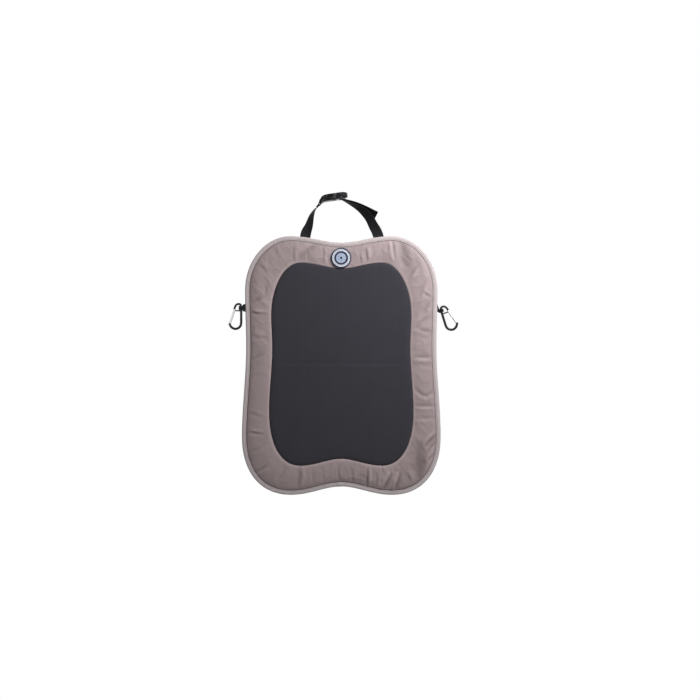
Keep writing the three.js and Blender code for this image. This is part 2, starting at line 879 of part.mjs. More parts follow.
// Gate line, from its hinge pin to its latch pin
const hingeAt = new THREE.Vector2(hingeReach, -hingeDrop);
const latchAt = new THREE.Vector2(noseReach, -latchDrop);
const gateAlong = latchAt.clone().sub(hingeAt).normalize();
const gateLength = latchAt.distanceTo(hingeAt);
const gateAngle = Math.atan2(gateAlong.y, gateAlong.x);
const pinHole = gatePinRadius + gap;
const gateSlot = lugThickness + 2 * gap;

// Round rod through points of X, Z and radius, with its first end square to a given direction
function rodThrough(points, firstAlong, sides) {
  const loops = points.map((p, k) => {
    const before = points[Math.max(k - 1, 0)];
    const after = points[Math.min(k + 1, points.length - 1)];
    const along = k ? new THREE.Vector2(after.x - before.x, after.y - before.y).normalize() : firstAlong;
    return Array.from({ length: sides }, (_, s) => {
      const angle = ((s + 0.5) / sides) * 2 * Math.PI;
      const out = p.z * Math.cos(angle);
      return new THREE.Vector3(p.x - along.y * out, p.z * Math.sin(angle), p.y + along.x * out);
    });
  });
  const ends = [points[0], points.at(-1)].map((p) => new THREE.Vector3(p.x, 0, p.y));
  return skin(loops, ends);
}

// Flat lug round the hinge pin, held by the head's end and by the bar that closes the eye
function hingeLug() {
  const { x, y } = hingeAt;
  const shape = new THREE.Shape();
  shape.moveTo(0, y - barHeight + 0.1);
  shape.lineTo(x - 2.4, y - barHeight + 0.3);
  shape.absarc(x, y, gateRadius - 0.2, 1.2 * Math.PI, 2.1 * Math.PI, false);
  shape.lineTo(x + 0.9, y + 4.6);
  shape.lineTo(x - 1.6, y + 4.9);
  shape.lineTo(x - 2.4, y + 0.5);
  shape.lineTo(0, y + 0.2);
  return plateXZ(shape, lugThickness, 4);
}

// Flat nose that the latch pin drops behind
function noseLug() {
  const shape = new THREE.Shape();
  shape.moveTo(-2.1, -5.5);
  shape.lineTo(2.1, -5.5);
  shape.lineTo(2.1, 1.2);
  shape.quadraticCurveTo(2, 2, 1.2, 2.1);
  shape.lineTo(-1.2, 2.1);
  shape.quadraticCurveTo(-2, 2, -2.1, 1.2);
  const turn = gateAngle + Math.PI / 2;
  return plateXZ(shape, lugThickness, 3).rotateY(-turn).translate(latchAt.x, 0, latchAt.y);
}

function carabinerBody() {
  const start = latchAt.clone().addScaledVector(gateAlong, gateRadius + 0.8);
  const bow = smooth(
    [[start.x, start.y, gateRadius], ...bowWay.map(([out, down]) => [out * noseReach, -down * hookDepth, rodRadius])],
    13,
  );
  const head = smooth(
    headWay.map(([out, up], k) => [
      out * hingeReach,
      up * headRise,
      THREE.MathUtils.lerp(rodRadius, headRadius, Math.min(k / 2, 1)),
    ]),
    10,
  );
  const turn = gateAngle + Math.PI / 2;
  const notch = box(-5, 1, -lugThickness, lugThickness, -pinHole, pinHole);
  notch.rotateY(-turn).translate(latchAt.x, 0, latchAt.y);
  const pinBore = cylinderAlongY(pinHole, 2 * lugThickness, 10, hingeAt.x, hingeAt.y);
  const whole = [hingeLug(), noseLug()].reduce(
    (body, lug) => body.add(solid(lug)),
    solid(rodThrough([...bow, ...head], gateAlong, 8)),
  );
  return geometryOf(whole.subtract(solid(notch)).subtract(solid(pinBore)));
}

// The gate's own pieces are drawn along +X from the hinge pin, then turned onto the gate line
function ontoGate(geometry) {
  return geometry.rotateY(-gateAngle).translate(hingeAt.x, 0, hingeAt.y);
}

const springFrom = gateRadius + 0.5;

function gateBody() {
  const rod = new THREE.CylinderGeometry(gateRadius, gateRadius, gateLength + 2 * gateRadius, 12);
  rod.rotateZ(-Math.PI / 2).translate(gateLength / 2, 0, 0);
  const ends = new THREE.Shape();
  ends.absarc(0, 0, gateRadius, Math.PI / 2, 1.5 * Math.PI, false);
  ends.absarc(gateLength, 0, gateRadius, 1.5 * Math.PI, 2.5 * Math.PI, false);
  const slotHalf = gateSlot / 2;
  const wide = gateRadius + 1;
  const cuts = [
    box(-wide, springFrom + 0.2, -slotHalf, slotHalf, -wide, wide),
    box(gateLength - gateRadius - 0.6, gateLength + wide, -slotHalf, slotHalf, -wide, wide),
    cylinderAlongY(pinHole, 3 * gateRadius, 10, 0, 0),
    cylinderAlongY(pinHole, 3 * gateRadius, 10, gateLength, 0),
    new THREE.CylinderGeometry(springBore, springBore, springReach, 10)
      .rotateZ(-Math.PI / 2)
      .translate(springReach / 2 + gap, 0, 0),
  ];
  const rounded = solid(rod).intersect(solid(plateXZ(ends, 3 * gateRadius, 6)));
  return ontoGate(geometryOf(cuts.reduce((body, cut) => body.subtract(solid(cut)), rounded)));
}

function gatePin(along) {
  return ontoGate(cylinderAlongY(gatePinRadius, 2 * gateRadius - 0.8, 10, along, 0));
}

function gateSpring() {
  const steps = springTurns * 8;
  const coilRadius = springBore - gap - springWire;
  const length = springReach - springFrom - 2 * springWire - gap;
  const points = Array.from({ length: steps + 1 }, (_, k) => {
    const angle = (k / 8) * 2 * Math.PI;
    const along = springFrom + springWire + (length * k) / steps;
    return new THREE.Vector3(along, coilRadius * Math.cos(angle), coilRadius * Math.sin(angle));
  });
  const w = springWire;
  const section = filled(new THREE.Shape(), [
    [w, w],
    [-w, w],
    [-w, -w],
    [w, -w],
  ]);
  const path = new THREE.CatmullRomCurve3(points);
  return ontoGate(new THREE.ExtrudeGeometry(section, { steps, extrudePath: path, bevelEnabled: false }));
}

// Assembly

const mat = new THREE.Group();

// The left side is the mirror image of the right one, apart from how its carabiner hangs
function addSide(label, side, hang) {
  const besideSeam = new THREE.Group();
  besideSeam.position.set(side * hangX, -webbingMiddle, tabLevel);
  besideSeam.scale.x = side;
  const hanging = new THREE.Group();
  hanging.position.z = -hang.below - hang.sag;
  hanging.rotation.y = -hang.lean * degrees;
  hanging.add(
    part("carabiner_" + label, carabinerBody(), blackMetal),
    part("gate_" + label, gateBody(), steel),
    part("hinge_pin_" + label, gatePin(0), steel),
    part("latch_pin_" + label, gatePin(gateLength), steel),
    part("gate_spring_" + label, gateSpring(), steel),
  );
  besideSeam.add(part("side_tab_" + label, sideTab(hang), webbing), hanging);
  mat.add(besideSeam);
}

addSide("left", -1, leftHang);
addSide("right", 1, rightHang);

const tabSlits = [-1, 1].map((side) =>
  seamSlit(tabWidth).rotateY(Math.PI / 2).translate(side * seamX, -webbingMiddle, tabLevel),
);
const strapSlits = [rootLeft, rootRight].map(([x, level]) =>
  seamSlit(strapWidth + 1).translate(x, -webbingMiddle, level),
);

const buckle = new THREE.Group();
buckle.position.set(buckleCentre[0], -webbingMiddle, buckleCentre[1]);
buckle.rotation.y = -buckleRise * degrees;
buckle.add(part("buckle_socket", buckleSocket(), plastic), part("buckle_plug", bucklePlug(), plastic));

mat.add(
  part("front_cover", frontCover(), fabric),
  part("centre_panel", centrePanel(), panelFabric),
  part("foam_pad", foamPad(), foam),
  part("back_cover", backCover(), fabric),
  part("edge_binding", edgeBinding([...tabSlits, ...strapSlits]), bindingTape),
  part("badge", badge(), rubber),
  part("strap_left", strapLeft(), webbing),
  part("strap_right", strapRight(), webbing),
  buckle,
);

export default mat;
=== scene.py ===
import math

import bpy
import numpy as np
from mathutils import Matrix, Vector, noise


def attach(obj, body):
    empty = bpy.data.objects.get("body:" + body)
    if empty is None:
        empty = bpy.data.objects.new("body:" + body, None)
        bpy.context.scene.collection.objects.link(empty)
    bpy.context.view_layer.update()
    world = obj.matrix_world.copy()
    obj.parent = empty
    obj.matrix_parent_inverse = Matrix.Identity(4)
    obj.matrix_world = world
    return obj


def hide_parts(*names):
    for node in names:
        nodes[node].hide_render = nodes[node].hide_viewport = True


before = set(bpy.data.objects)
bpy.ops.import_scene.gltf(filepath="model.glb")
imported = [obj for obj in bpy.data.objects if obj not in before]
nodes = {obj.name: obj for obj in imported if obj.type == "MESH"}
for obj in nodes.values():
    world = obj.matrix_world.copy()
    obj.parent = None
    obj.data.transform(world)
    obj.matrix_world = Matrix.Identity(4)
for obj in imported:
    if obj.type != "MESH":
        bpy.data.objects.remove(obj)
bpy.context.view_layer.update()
MM = 0.001

# Sizes shared with the CAD source, in millimetres and degrees

GAP = 0.3
MAT_HEIGHT, UPPER_WIDTH, WAIST_WIDTH, LOWER_WIDTH = 492, 366, 362, 378
UPPER_LEVEL, WAIST_LEVEL, LOWER_LEVEL = 143, 35, -135
CREST_SPREAD, TOP_DIP, BOTTOM_DIP = 192, 12.3, 16
TOP_FULLNESS, BOTTOM_FULLNESS, DIP_EASE, CREST_EASE = 0.55, 0.62, 0.32, 0.62
SIDE_BORDER, LOWER_SIDE_BORDER, TOP_BORDER, BOTTOM_BORDER = 50, 52, 50.5, 56
PANEL_CREST_SPREAD, PANEL_SIDE_INSET, PANEL_TOP_LIFT, PANEL_BOTTOM_DROP = 155, 47, 1.1, 3
COVER, BINDING, BINDING_WIDTH, WEBBING = 0.6, 0.9, 8, 1.2
PUFF, SEAM, PANEL_FLOOR, PANEL_CROWN, BADGE_SEAT = 9.5, 6.2, 7.4, 0.5, 8.2
PANEL_THICKNESS, CREASE_ROOM = 1.2, 1.7
BADGE_RADIUS, BADGE_THICKNESS, BADGE_LEVEL = 19.2, 2.6, 204.3
STRAP_WIDTH, STRAP_ROOT_LEFT, STRAP_ROOT_RIGHT, SEAM_DEPTH = 20, -68.6, 70.7, 12
BUCKLE_CENTRE, BUCKLE_RISE = (-14.8, 320.2), 8
STRAP_BAR_RADIUS, STRAP_BAR_REACH, STRAP_BAR_DROP = 1.6, 25.3, 5.2
SLOT_BAR_FROM, SLOT_BAR_TO, SLOT_BAR_HALF, SLOT_TURN = 12.5, 15.5, 1.5, 1.3
TURN_IN_DROP, TURN_OUT_DROP = 3.6, 5.5
LEFT_SLOPE, RIGHT_SLOPE, TAIL_SLOPE, TAIL_LENGTH = 42, -34, -25.4, 70.9
TAB_LEVEL, TAB_WIDTH, TAB_NECK_WIDTH, TAPE, LOOP_SLACK, LOOP_TO = 109.6, 15, 13.4, 0.7, 1.5, 4.7
HANG_X, ROD_RADIUS = 190.3593, 2.5
LEFT_HANG = {"lean": 0, "below": 0.8, "sag": 0, "loop_from": -3.3}
RIGHT_HANG = {"lean": 17, "below": 4.2, "sag": 2.8, "loop_from": -1.5}
LIP_RECESS = 0.2
LIP_INSIDE = LIP_RECESS + BINDING
BACK_MARGIN = LIP_INSIDE + GAP
WEBBING_MIDDLE = BACK_MARGIN + COVER + GAP + WEBBING / 2
FRONT_MARGIN = WEBBING_MIDDLE + WEBBING / 2 + GAP
FRONT_MARGIN_FACE = FRONT_MARGIN + COVER
LIP_FRONT = FRONT_MARGIN_FACE + GAP
LIP_FACE = LIP_FRONT + BINDING
PANEL_BACK = PANEL_FLOOR + GAP
PANEL_EDGE_FACE = SEAM + GAP + PANEL_THICKNESS
BADGE_BACK = BADGE_SEAT + GAP
PANEL_SHOULDER = 8  # the ledge inside the panel's edge

# Outlines

STRETCH_STEPS = (70, 110, 60, 60, 110, 70)


def upright(x, z, to_x, to_z):
    """Corners of a stretch of the side that starts and ends upright."""
    return [(x, z), (x, (2 * z + to_z) / 3), (to_x, (z + 2 * to_z) / 3), (to_x, to_z)]


def outline(top_dip, top, crest, upper, upper_level, waist, waist_level, lower, lower_level, bottom, bottom_dip):
    """A mirrored loop of x and z, from the top dip down the right side and up the left one."""
    f, g = TOP_FULLNESS, BOTTOM_FULLNESS
    near, far = crest * DIP_EASE, crest * CREST_EASE
    shoulder, hip = upper_level + f * (top - upper_level), lower_level + g * (bottom - lower_level)
    stretches = [
        [(0, top_dip), (near, top_dip), (far, top), (crest, top)],
        [(crest, top), (crest + f * (upper - crest), top), (upper, shoulder), (upper, upper_level)],
        upright(upper, upper_level, waist, waist_level),
        upright(waist, waist_level, lower, lower_level),
        [(lower, lower_level), (lower, hip), (crest + g * (lower - crest), bottom), (crest, bottom)],
        [(crest, bottom), (far, bottom), (near, bottom_dip), (0, bottom_dip)],
    ]
    half = []
    for corners, steps in zip(stretches, STRETCH_STEPS):
        a, b, c, d = (np.array(p, float) for p in corners)
        t = (np.arange(steps) / steps)[:, None]
        half.append((1 - t) ** 3 * a + 3 * (1 - t) ** 2 * t * b + 3 * (1 - t) * t * t * c + t ** 3 * d)
    half = np.concatenate(half)
    mirrored = half[1:][::-1] * np.array([-1, 1])
    return np.concatenate([half, [[0.0, bottom_dip]], mirrored])


def inset(loop, distance):
    along = np.roll(loop, -1, 0) - np.roll(loop, 1, 0)
    along /= np.linalg.norm(along, axis=1)[:, None]
    return loop + np.stack([along[:, 1], -along[:, 0]], 1) * distance


MAT_LOOP = outline(
    MAT_HEIGHT / 2 - TOP_DIP, MAT_HEIGHT / 2, CREST_SPREAD / 2, UPPER_WIDTH / 2, UPPER_LEVEL,
    WAIST_WIDTH / 2, WAIST_LEVEL, LOWER_WIDTH / 2, LOWER_LEVEL, -MAT_HEIGHT / 2, BOTTOM_DIP - MAT_HEIGHT / 2,
)
PANEL_LOOP = outline(
    MAT_HEIGHT / 2 - TOP_DIP - TOP_BORDER + PANEL_TOP_LIFT, MAT_HEIGHT / 2 - TOP_BORDER, PANEL_CREST_SPREAD / 2,
    UPPER_WIDTH / 2 - SIDE_BORDER, UPPER_LEVEL - PANEL_SIDE_INSET, WAIST_WIDTH / 2 - SIDE_BORDER, WAIST_LEVEL,
    LOWER_WIDTH / 2 - LOWER_SIDE_BORDER, LOWER_LEVEL + PANEL_SIDE_INSET,
    BOTTOM_BORDER - MAT_HEIGHT / 2, BOTTOM_BORDER + BOTTOM_DIP - MAT_HEIGHT / 2 - PANEL_BOTTOM_DROP,
)
COUNT = len(MAT_LOOP)
LIP_LOOP = inset(MAT_LOOP, BINDING_WIDTH + GAP)
RIM_LOOP = inset(MAT_LOOP, BINDING + GAP)


def loop_area(loop):
    x, z = loop[:, 0], loop[:, 1]
    return abs(np.sum(x * np.roll(z, -1) - z * np.roll(x, -1))) / 2


def raised(loop, height):
    """A loop of points at that height in front of the flat back."""
    height = np.broadcast_to(np.asarray(height, float), (len(loop),))
    return np.stack([loop[:, 0], -height, loop[:, 1]], 1)


def arc_length(loop):
    """Distance along a closed loop to each of its points, and the whole length."""
    step = np.linalg.norm(np.roll(loop, -1, 0) - loop, axis=1)
    return np.concatenate([[0], np.cumsum(step)[:-1]]), step.sum()


MAT_ALONG = arc_length(MAT_LOOP)[0]

# Mesh helpers


def mesh_object(name, points, faces, material, uv=None):
    mesh = bpy.data.meshes.new(name)
    mesh.from_pydata((np.asarray(points, float) * MM).tolist(), [], faces)
    mesh.validate()
    if uv is not None:
        layer = mesh.uv_layers.new(name="weave")
        index = np.zeros(len(mesh.loops), np.int32)
        mesh.loops.foreach_get("vertex_index", index)
        layer.data.foreach_set("uv", (np.asarray(uv, float) * MM)[index].astype(np.float32).ravel())
    mesh.polygons.foreach_set("use_smooth", [True] * len(mesh.polygons))
    o = bpy.data.objects.new(name, mesh)
    bpy.context.scene.collection.objects.link(o)
    mesh.materials.append(material)
    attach(o, "mat")
    return o


def band_faces(rows, count, wrap=False, first=0):
    """Quads between closed rows of points. wrap joins the last row to the first."""
    faces = []
    for r in range(rows if wrap else rows - 1):
        here, there = first + r * count, first + ((r + 1) % rows) * count
        for i in range(count):
            j = (i + 1) % count
            faces.append((here + i, here + j, there + j, there + i))
    return faces


def tube_faces(first, rows, sides):
    """Faces of a tube of rows of points, closed at both ends."""
    last = first + (rows - 1) * sides
    ends = [tuple(first + q for q in reversed(range(sides))), tuple(last + q for q in range(sides))]
    return band_faces(rows, sides, first=first) + ends


def outward(points, faces):
    """The faces turned so that a closed mesh has its outside out."""
    p = np.asarray(points, float)
    total = 0.0
    for f in faces:
        a = p[f[0]]
        for k in range(1, len(f) - 1):
            total += float(np.dot(a, np.cross(p[f[k]], p[f[k + 1]])))
    return faces if total > 0 else [tuple(reversed(f)) for f in faces]


def skin(name, rows, material, centres=None, uv=None):
    """A closed surface through rows of points, as in the CAD source."""
    rows = [np.asarray(r, float) for r in rows]
    count = len(rows[0])
    points = np.concatenate(rows)
    faces = band_faces(len(rows), count, wrap=centres is None)
    if centres is not None:
        first, last = len(points), (len(rows) - 1) * count
        points = np.concatenate([points, np.asarray(centres, float)])
        faces += [(first, (i + 1) % count, i) for i in range(count)]
        faces += [(first + 1, last + i, last + (i + 1) % count) for i in range(count)]
    return mesh_object(name, points, outward(points, faces), material, uv)


# Materials


class Nodes:
    def __init__(self, name):
        self.material = bpy.data.materials.new(name)
        self.material.use_nodes = True
        self.tree = self.material.node_tree
        self.shader = self.tree.nodes["Principled BSDF"]

    def give(self, socket, source):
        if isinstance(source, bpy.types.NodeSocket):
            self.tree.links.new(source, socket)
        else:
            socket.default_value = source

    def add(self, kind, links=(), **values):
        node = self.tree.nodes.new(kind)
        for key, value in values.items():
            setattr(node, key, value)
        for socket, source in dict(links).items():
            self.give(node.inputs[socket], source)
        return node

    def put(self, socket, source):
        self.give(self.shader.inputs[socket], source)

    def surface(self, colour, rough, normal, gloss=None, sheen=None, sheen_rough=0.5):
        """The material, finished."""
        self.put("Base Color", colour)
        self.put("Roughness", rough)
        self.put("Normal", normal)
        if gloss is not None:
            self.put("Specular IOR Level", gloss)
        if sheen is not None:
            self.put("Sheen Weight", sheen)
            self.put("Sheen Roughness", sheen_rough)
        return self.material

    def math(self, operation, a, b=0.0, c=0.0):
        return self.add("ShaderNodeMath", {0: a, 1: b, 2: c}, operation=operation).outputs[0]

    def mix(self, share, a, b):
        node = self.add("ShaderNodeMix", data_type="RGBA")
        for name, value in (("Factor_Float", share), ("A_Color", a), ("B_Color", b)):
            self.give(next(s for s in node.inputs if s.identifier == name), value)
        return next(s for s in node.outputs if s.identifier == "Result_Color")

    def noise(self, vector, scale, detail=4.0, rough=0.55):
        links = {"Vector": vector, "Scale": scale, "Detail": detail, "Roughness": rough}
        return self.add("ShaderNodeTexNoise", links).outputs["Fac"]

    def scaled(self, vector, factors):
        return self.add("ShaderNodeVectorMath", {0: vector, 1: factors}, operation="MULTIPLY").outputs[0]

    def wave(self, value, period):
        """A sine from 0 to 1 of a length in metres."""
        turned = self.math("MULTIPLY", value, 2 * math.pi / period)
        return self.math("MULTIPLY_ADD", self.math("SINE", turned), 0.5, 0.5)

    def bump(self, height, distance, strength=1.0, normal=None):
        links = {"Height": height, "Distance": distance, "Strength": strength}
        if normal is not None:
            links["Normal"] = normal
        return self.add("ShaderNodeBump", links).outputs[0]

    def spread(self, value, low, high):
        """The value 0..1 mapped to low..high."""
        return self.math("MULTIPLY_ADD", value, high - low, low)

    def place(self):
        return self.add("ShaderNodeTexCoord").outputs["Object"]

    def split(self, vector):
        return self.add("ShaderNodeSeparateXYZ", {0: vector}).outputs

    def woven(self):
        """The weave's own coordinates of a ribbon: along it and across it, in metres."""
        return self.split(self.add("ShaderNodeUVMap", uv_map="weave").outputs[0])


def tinted(colour, factors, added=0.0):
    """The colour with its channels multiplied and then raised, at most 1."""
    return (*np.clip(np.multiply(colour[:3], factors) + added, 0, 1).tolist(), 1)


def plain_weave(n, a, b, period):
    """Height of threads that pass over and under each other, a and b in metres."""
    over = n.math("MULTIPLY", n.wave(a, period), n.wave(n.math("MULTIPLY_ADD", b, 0.5, period / 8), period))
    return n.math("MULTIPLY_ADD", n.wave(b, period), 0.5, over)


def nylon(name, colour, dark, rough=0.5, period=0.0007):
    """Thin woven nylon: fine threads, soft mottling, and painted light and shade with a random mottle, kept on the
    mesh, which scale the colour.
    """
    n = Nodes(name)
    place = n.place()
    x, _, z = n.split(place)
    cloudy = n.noise(place, 70.0, 5.0, 0.6)
    threads = n.noise(n.scaled(place, (2600.0, 400.0, 260.0)), 1.0, 2.0)
    share = n.math("MULTIPLY_ADD", n.noise(place, 11.0, 3.0), 0.6, n.math("MULTIPLY", cloudy, 0.4))
    deep = n.mix(n.spread(threads, 0.0, 0.16), n.mix(share, dark, colour), tinted(dark, 0.7))
    # The painted light and shade on the mesh scales the colour
    lit = n.math("ADD", n.add("ShaderNodeAttribute", attribute_name="painted_light_and_mottle").outputs["Fac"], 1.0)
    lit = n.scaled(deep, n.add("ShaderNodeCombineXYZ", {0: lit, 1: lit, 2: lit}).outputs[0])
    normal = n.bump(cloudy, 0.0012, 0.3, n.bump(plain_weave(n, x, z, period), 0.00012, 0.35))
    return n.surface(lit, n.spread(cloudy, rough - 0.06, rough + 0.1), normal, 0.22, 0.05)


def tape(name, colour, dark):
    """Bias tape: a ribbed grosgrain with ribs across its length."""
    n = Nodes(name)
    cloudy = n.noise(n.place(), 55.0, 4.0, 0.6)
    rib = n.wave(n.woven()[0], 0.0011)
    tint = n.mix(n.spread(rib, 0.22, 0.0), n.mix(cloudy, dark, colour), tinted(dark, (0.62, 0.6, 0.6)))
    normal = n.bump(cloudy, 0.0008, 0.2, n.bump(rib, 0.00018, 0.5))
    return n.surface(tint, n.spread(cloudy, 0.5, 0.68), normal, 0.25, 0.08)


def ribbed_panel(name, colour, dark):
    """Knitted fabric with upright ribs that wander a little."""
    n = Nodes(name)
    place = n.place()
    x, _, z = n.split(place)
    sway = n.noise(n.scaled(place, (14.0, 1.0, 5.0)), 1.0, 3.0)
    rib = n.wave(n.math("MULTIPLY_ADD", sway, 0.0016, x), 0.0021)
    streak = n.noise(n.scaled(place, (520.0, 20.0, 26.0)), 1.0, 3.0, 0.6)
    cloudy = n.noise(place, 24.0, 5.0, 0.62)
    share = n.math("MULTIPLY_ADD", streak, 0.5, n.math("MULTIPLY", cloudy, 0.5))
    tint = n.mix(n.spread(rib, 0.3, 0.0), n.mix(share, dark, colour), tinted(dark, 0.6))
    height = n.math("MULTIPLY_ADD", n.wave(z, 0.0016), 0.35, rib)
    normal = n.bump(cloudy, 0.0016, 0.25, n.bump(height, 0.00035, 0.55))
    return n.surface(tint, n.spread(streak, 0.72, 0.9), normal, 0.12, 0.02)


def webbing_fabric(name, colour, light, ribs):
    """Webbing: columns of twill that slants to and fro."""
    n = Nodes(name)
    column = STRAP_WIDTH * MM / ribs
    along, across, _ = n.woven()
    place = n.place()
    slant = n.math("SUBTRACT", n.math("FRACT", n.math("MULTIPLY", across, 1 / column)), 0.5)
    twill = n.wave(n.math("MULTIPLY_ADD", n.math("ABSOLUTE", slant), column, along), 0.0013)
    fuzz = n.noise(place, 700.0, 3.0, 0.7)
    pale = n.math("MULTIPLY_ADD", twill, 0.6, n.math("MULTIPLY", fuzz, 0.4))
    tint = n.mix(n.math("MULTIPLY", pale, n.noise(place, 45.0, 4.0, 0.6)), colour, light)
    height = n.math("MULTIPLY_ADD", fuzz, 0.25, n.wave(across, column))
    normal = n.bump(n.math("MULTIPLY_ADD", twill, 0.7, height), 0.00025, 0.7)
    return n.surface(tint, n.spread(fuzz, 0.55, 0.8), normal, 0.14, 0.01, 0.4)


def moulded(name, colour, rough=0.38, grain=900.0, bump=0.25, gloss=0.22, painted_glint=0.0):
    """A moulded or coated surface with fine pits, and, when given a grey, pale patches of that grey painted on as
    highlights in place of glints.
    """
    n = Nodes(name)
    place = n.place()
    worn = n.noise(place, 120.0, 5.0, 0.65)
    tint = n.mix(n.math("MULTIPLY", worn, 0.5), colour, tinted(colour, 1.6, (0.004, 0.004, 0.005)))
    # Pale patches at random places: painted highlights in place of glints
    if painted_glint:
        glint_patches = n.math("SUBTRACT", n.noise(place, 190.0, 3.0, 0.5), 0.53)
        glint_mask = n.add("ShaderNodeClamp", {0: n.math("MULTIPLY", glint_patches, 7.0)}).outputs[0]
        tint = n.mix(glint_mask, tint, (painted_glint, painted_glint, painted_glint * 1.04, 1))
    normal = n.bump(n.noise(place, grain, 2.0, 0.6), 0.00008, bump)
    return n.surface(tint, n.spread(worn, rough - 0.08, rough + 0.14), normal, gloss)


def metal(name, colour, rough):
    """Bare metal, brushed round its length and finely scratched."""
    n = Nodes(name)
    place = n.place()
    brushed = n.noise(n.scaled(place, (260.0, 260.0, 3200.0)), 1.0, 3.0, 0.6)
    scratch = n.noise(place, 380.0, 4.0, 0.7)
    tint = n.mix(n.math("MULTIPLY", scratch, 0.6), colour, tinted(colour, 1.25, 0.02))
    n.put("Metallic", 1.0)
    return n.surface(tint, n.spread(brushed, rough - 0.06, rough + 0.12), n.bump(brushed, 0.00004, 0.25))


def thread(name, colour):
    n = Nodes(name)
    twist = n.noise(n.place(), 1500.0, 2.0)
    tint = n.mix(twist, tinted(colour, 0.6), colour)
    return n.surface(tint, n.spread(twist, 0.4, 0.6), n.bump(twist, 0.00008, 0.4))


def foamy(name, colour):
    n = Nodes(name)
    cells = n.add("ShaderNodeTexVoronoi", {"Vector": n.place(), "Scale": 900.0}).outputs["Distance"]
    tint = n.mix(cells, tinted(colour, (0.75, 0.75, 0.7)), colour)
    return n.surface(tint, n.spread(cells, 0.85, 0.98), n.bump(cells, 0.0003, 0.6))


YARN, WORN_YARN = (0.0075, 0.0075, 0.009, 1), (0.020, 0.020, 0.024, 1)
TAUPE = nylon("taupe_nylon", (0.375, 0.298, 0.302, 1), (0.305, 0.240, 0.246, 1))
BACKING = nylon("back_nylon", (0.34, 0.27, 0.274, 1), (0.28, 0.218, 0.224, 1), 0.6, 0.0009)
TRIM = tape("binding_tape", (0.57, 0.50, 0.505, 1), (0.475, 0.412, 0.42, 1))
CHARCOAL = ribbed_panel("charcoal_panel", (0.052, 0.050, 0.060, 1), (0.036, 0.0345, 0.043, 1))
TABBING = webbing_fabric("tab_webbing", YARN, WORN_YARN, 7)
STRAPPING = webbing_fabric("black_webbing", YARN, WORN_YARN, 9)
# The black plastic carries pale patches of painted highlight
PLASTIC = moulded("black_plastic", (0.005, 0.005, 0.006, 1), 0.3, gloss=0.1, painted_glint=0.065)
BLACK_METAL = moulded("black_coated_metal", (0.009, 0.009, 0.011, 1), 0.3, 1400.0, 0.15)
SILVER = metal("satin_aluminium", (0.58, 0.59, 0.61, 1), 0.32)
STEEL = metal("bright_steel", (0.52, 0.52, 0.54, 1), 0.24)
FOAM = foamy("soft_foam", (0.70, 0.68, 0.62, 1))
TAUPE_THREAD = thread("taupe_thread", (0.30, 0.25, 0.25, 1))
DARK_THREAD = thread("dark_thread", (0.02, 0.019, 0.023, 1))
NAVY = moulded("badge_navy", (0.020, 0.026, 0.050, 1), 0.45, 500.0)
PALE = moulded("badge_pale", (0.47, 0.49, 0.55, 1), 0.5, 500.0)
SKY = moulded("badge_light_blue", (0.30, 0.36, 0.47, 1), 0.5, 500.0)
GREY = moulded("badge_grey", (0.16, 0.17, 0.22, 1), 0.5, 500.0)

# Creases of the cover

PIXEL = 1.9  # millimetres for each pixel of the photograph
MIDDLE_X, MIDDLE_Y = 341.3, 365.5  # the mat's middle in the photograph

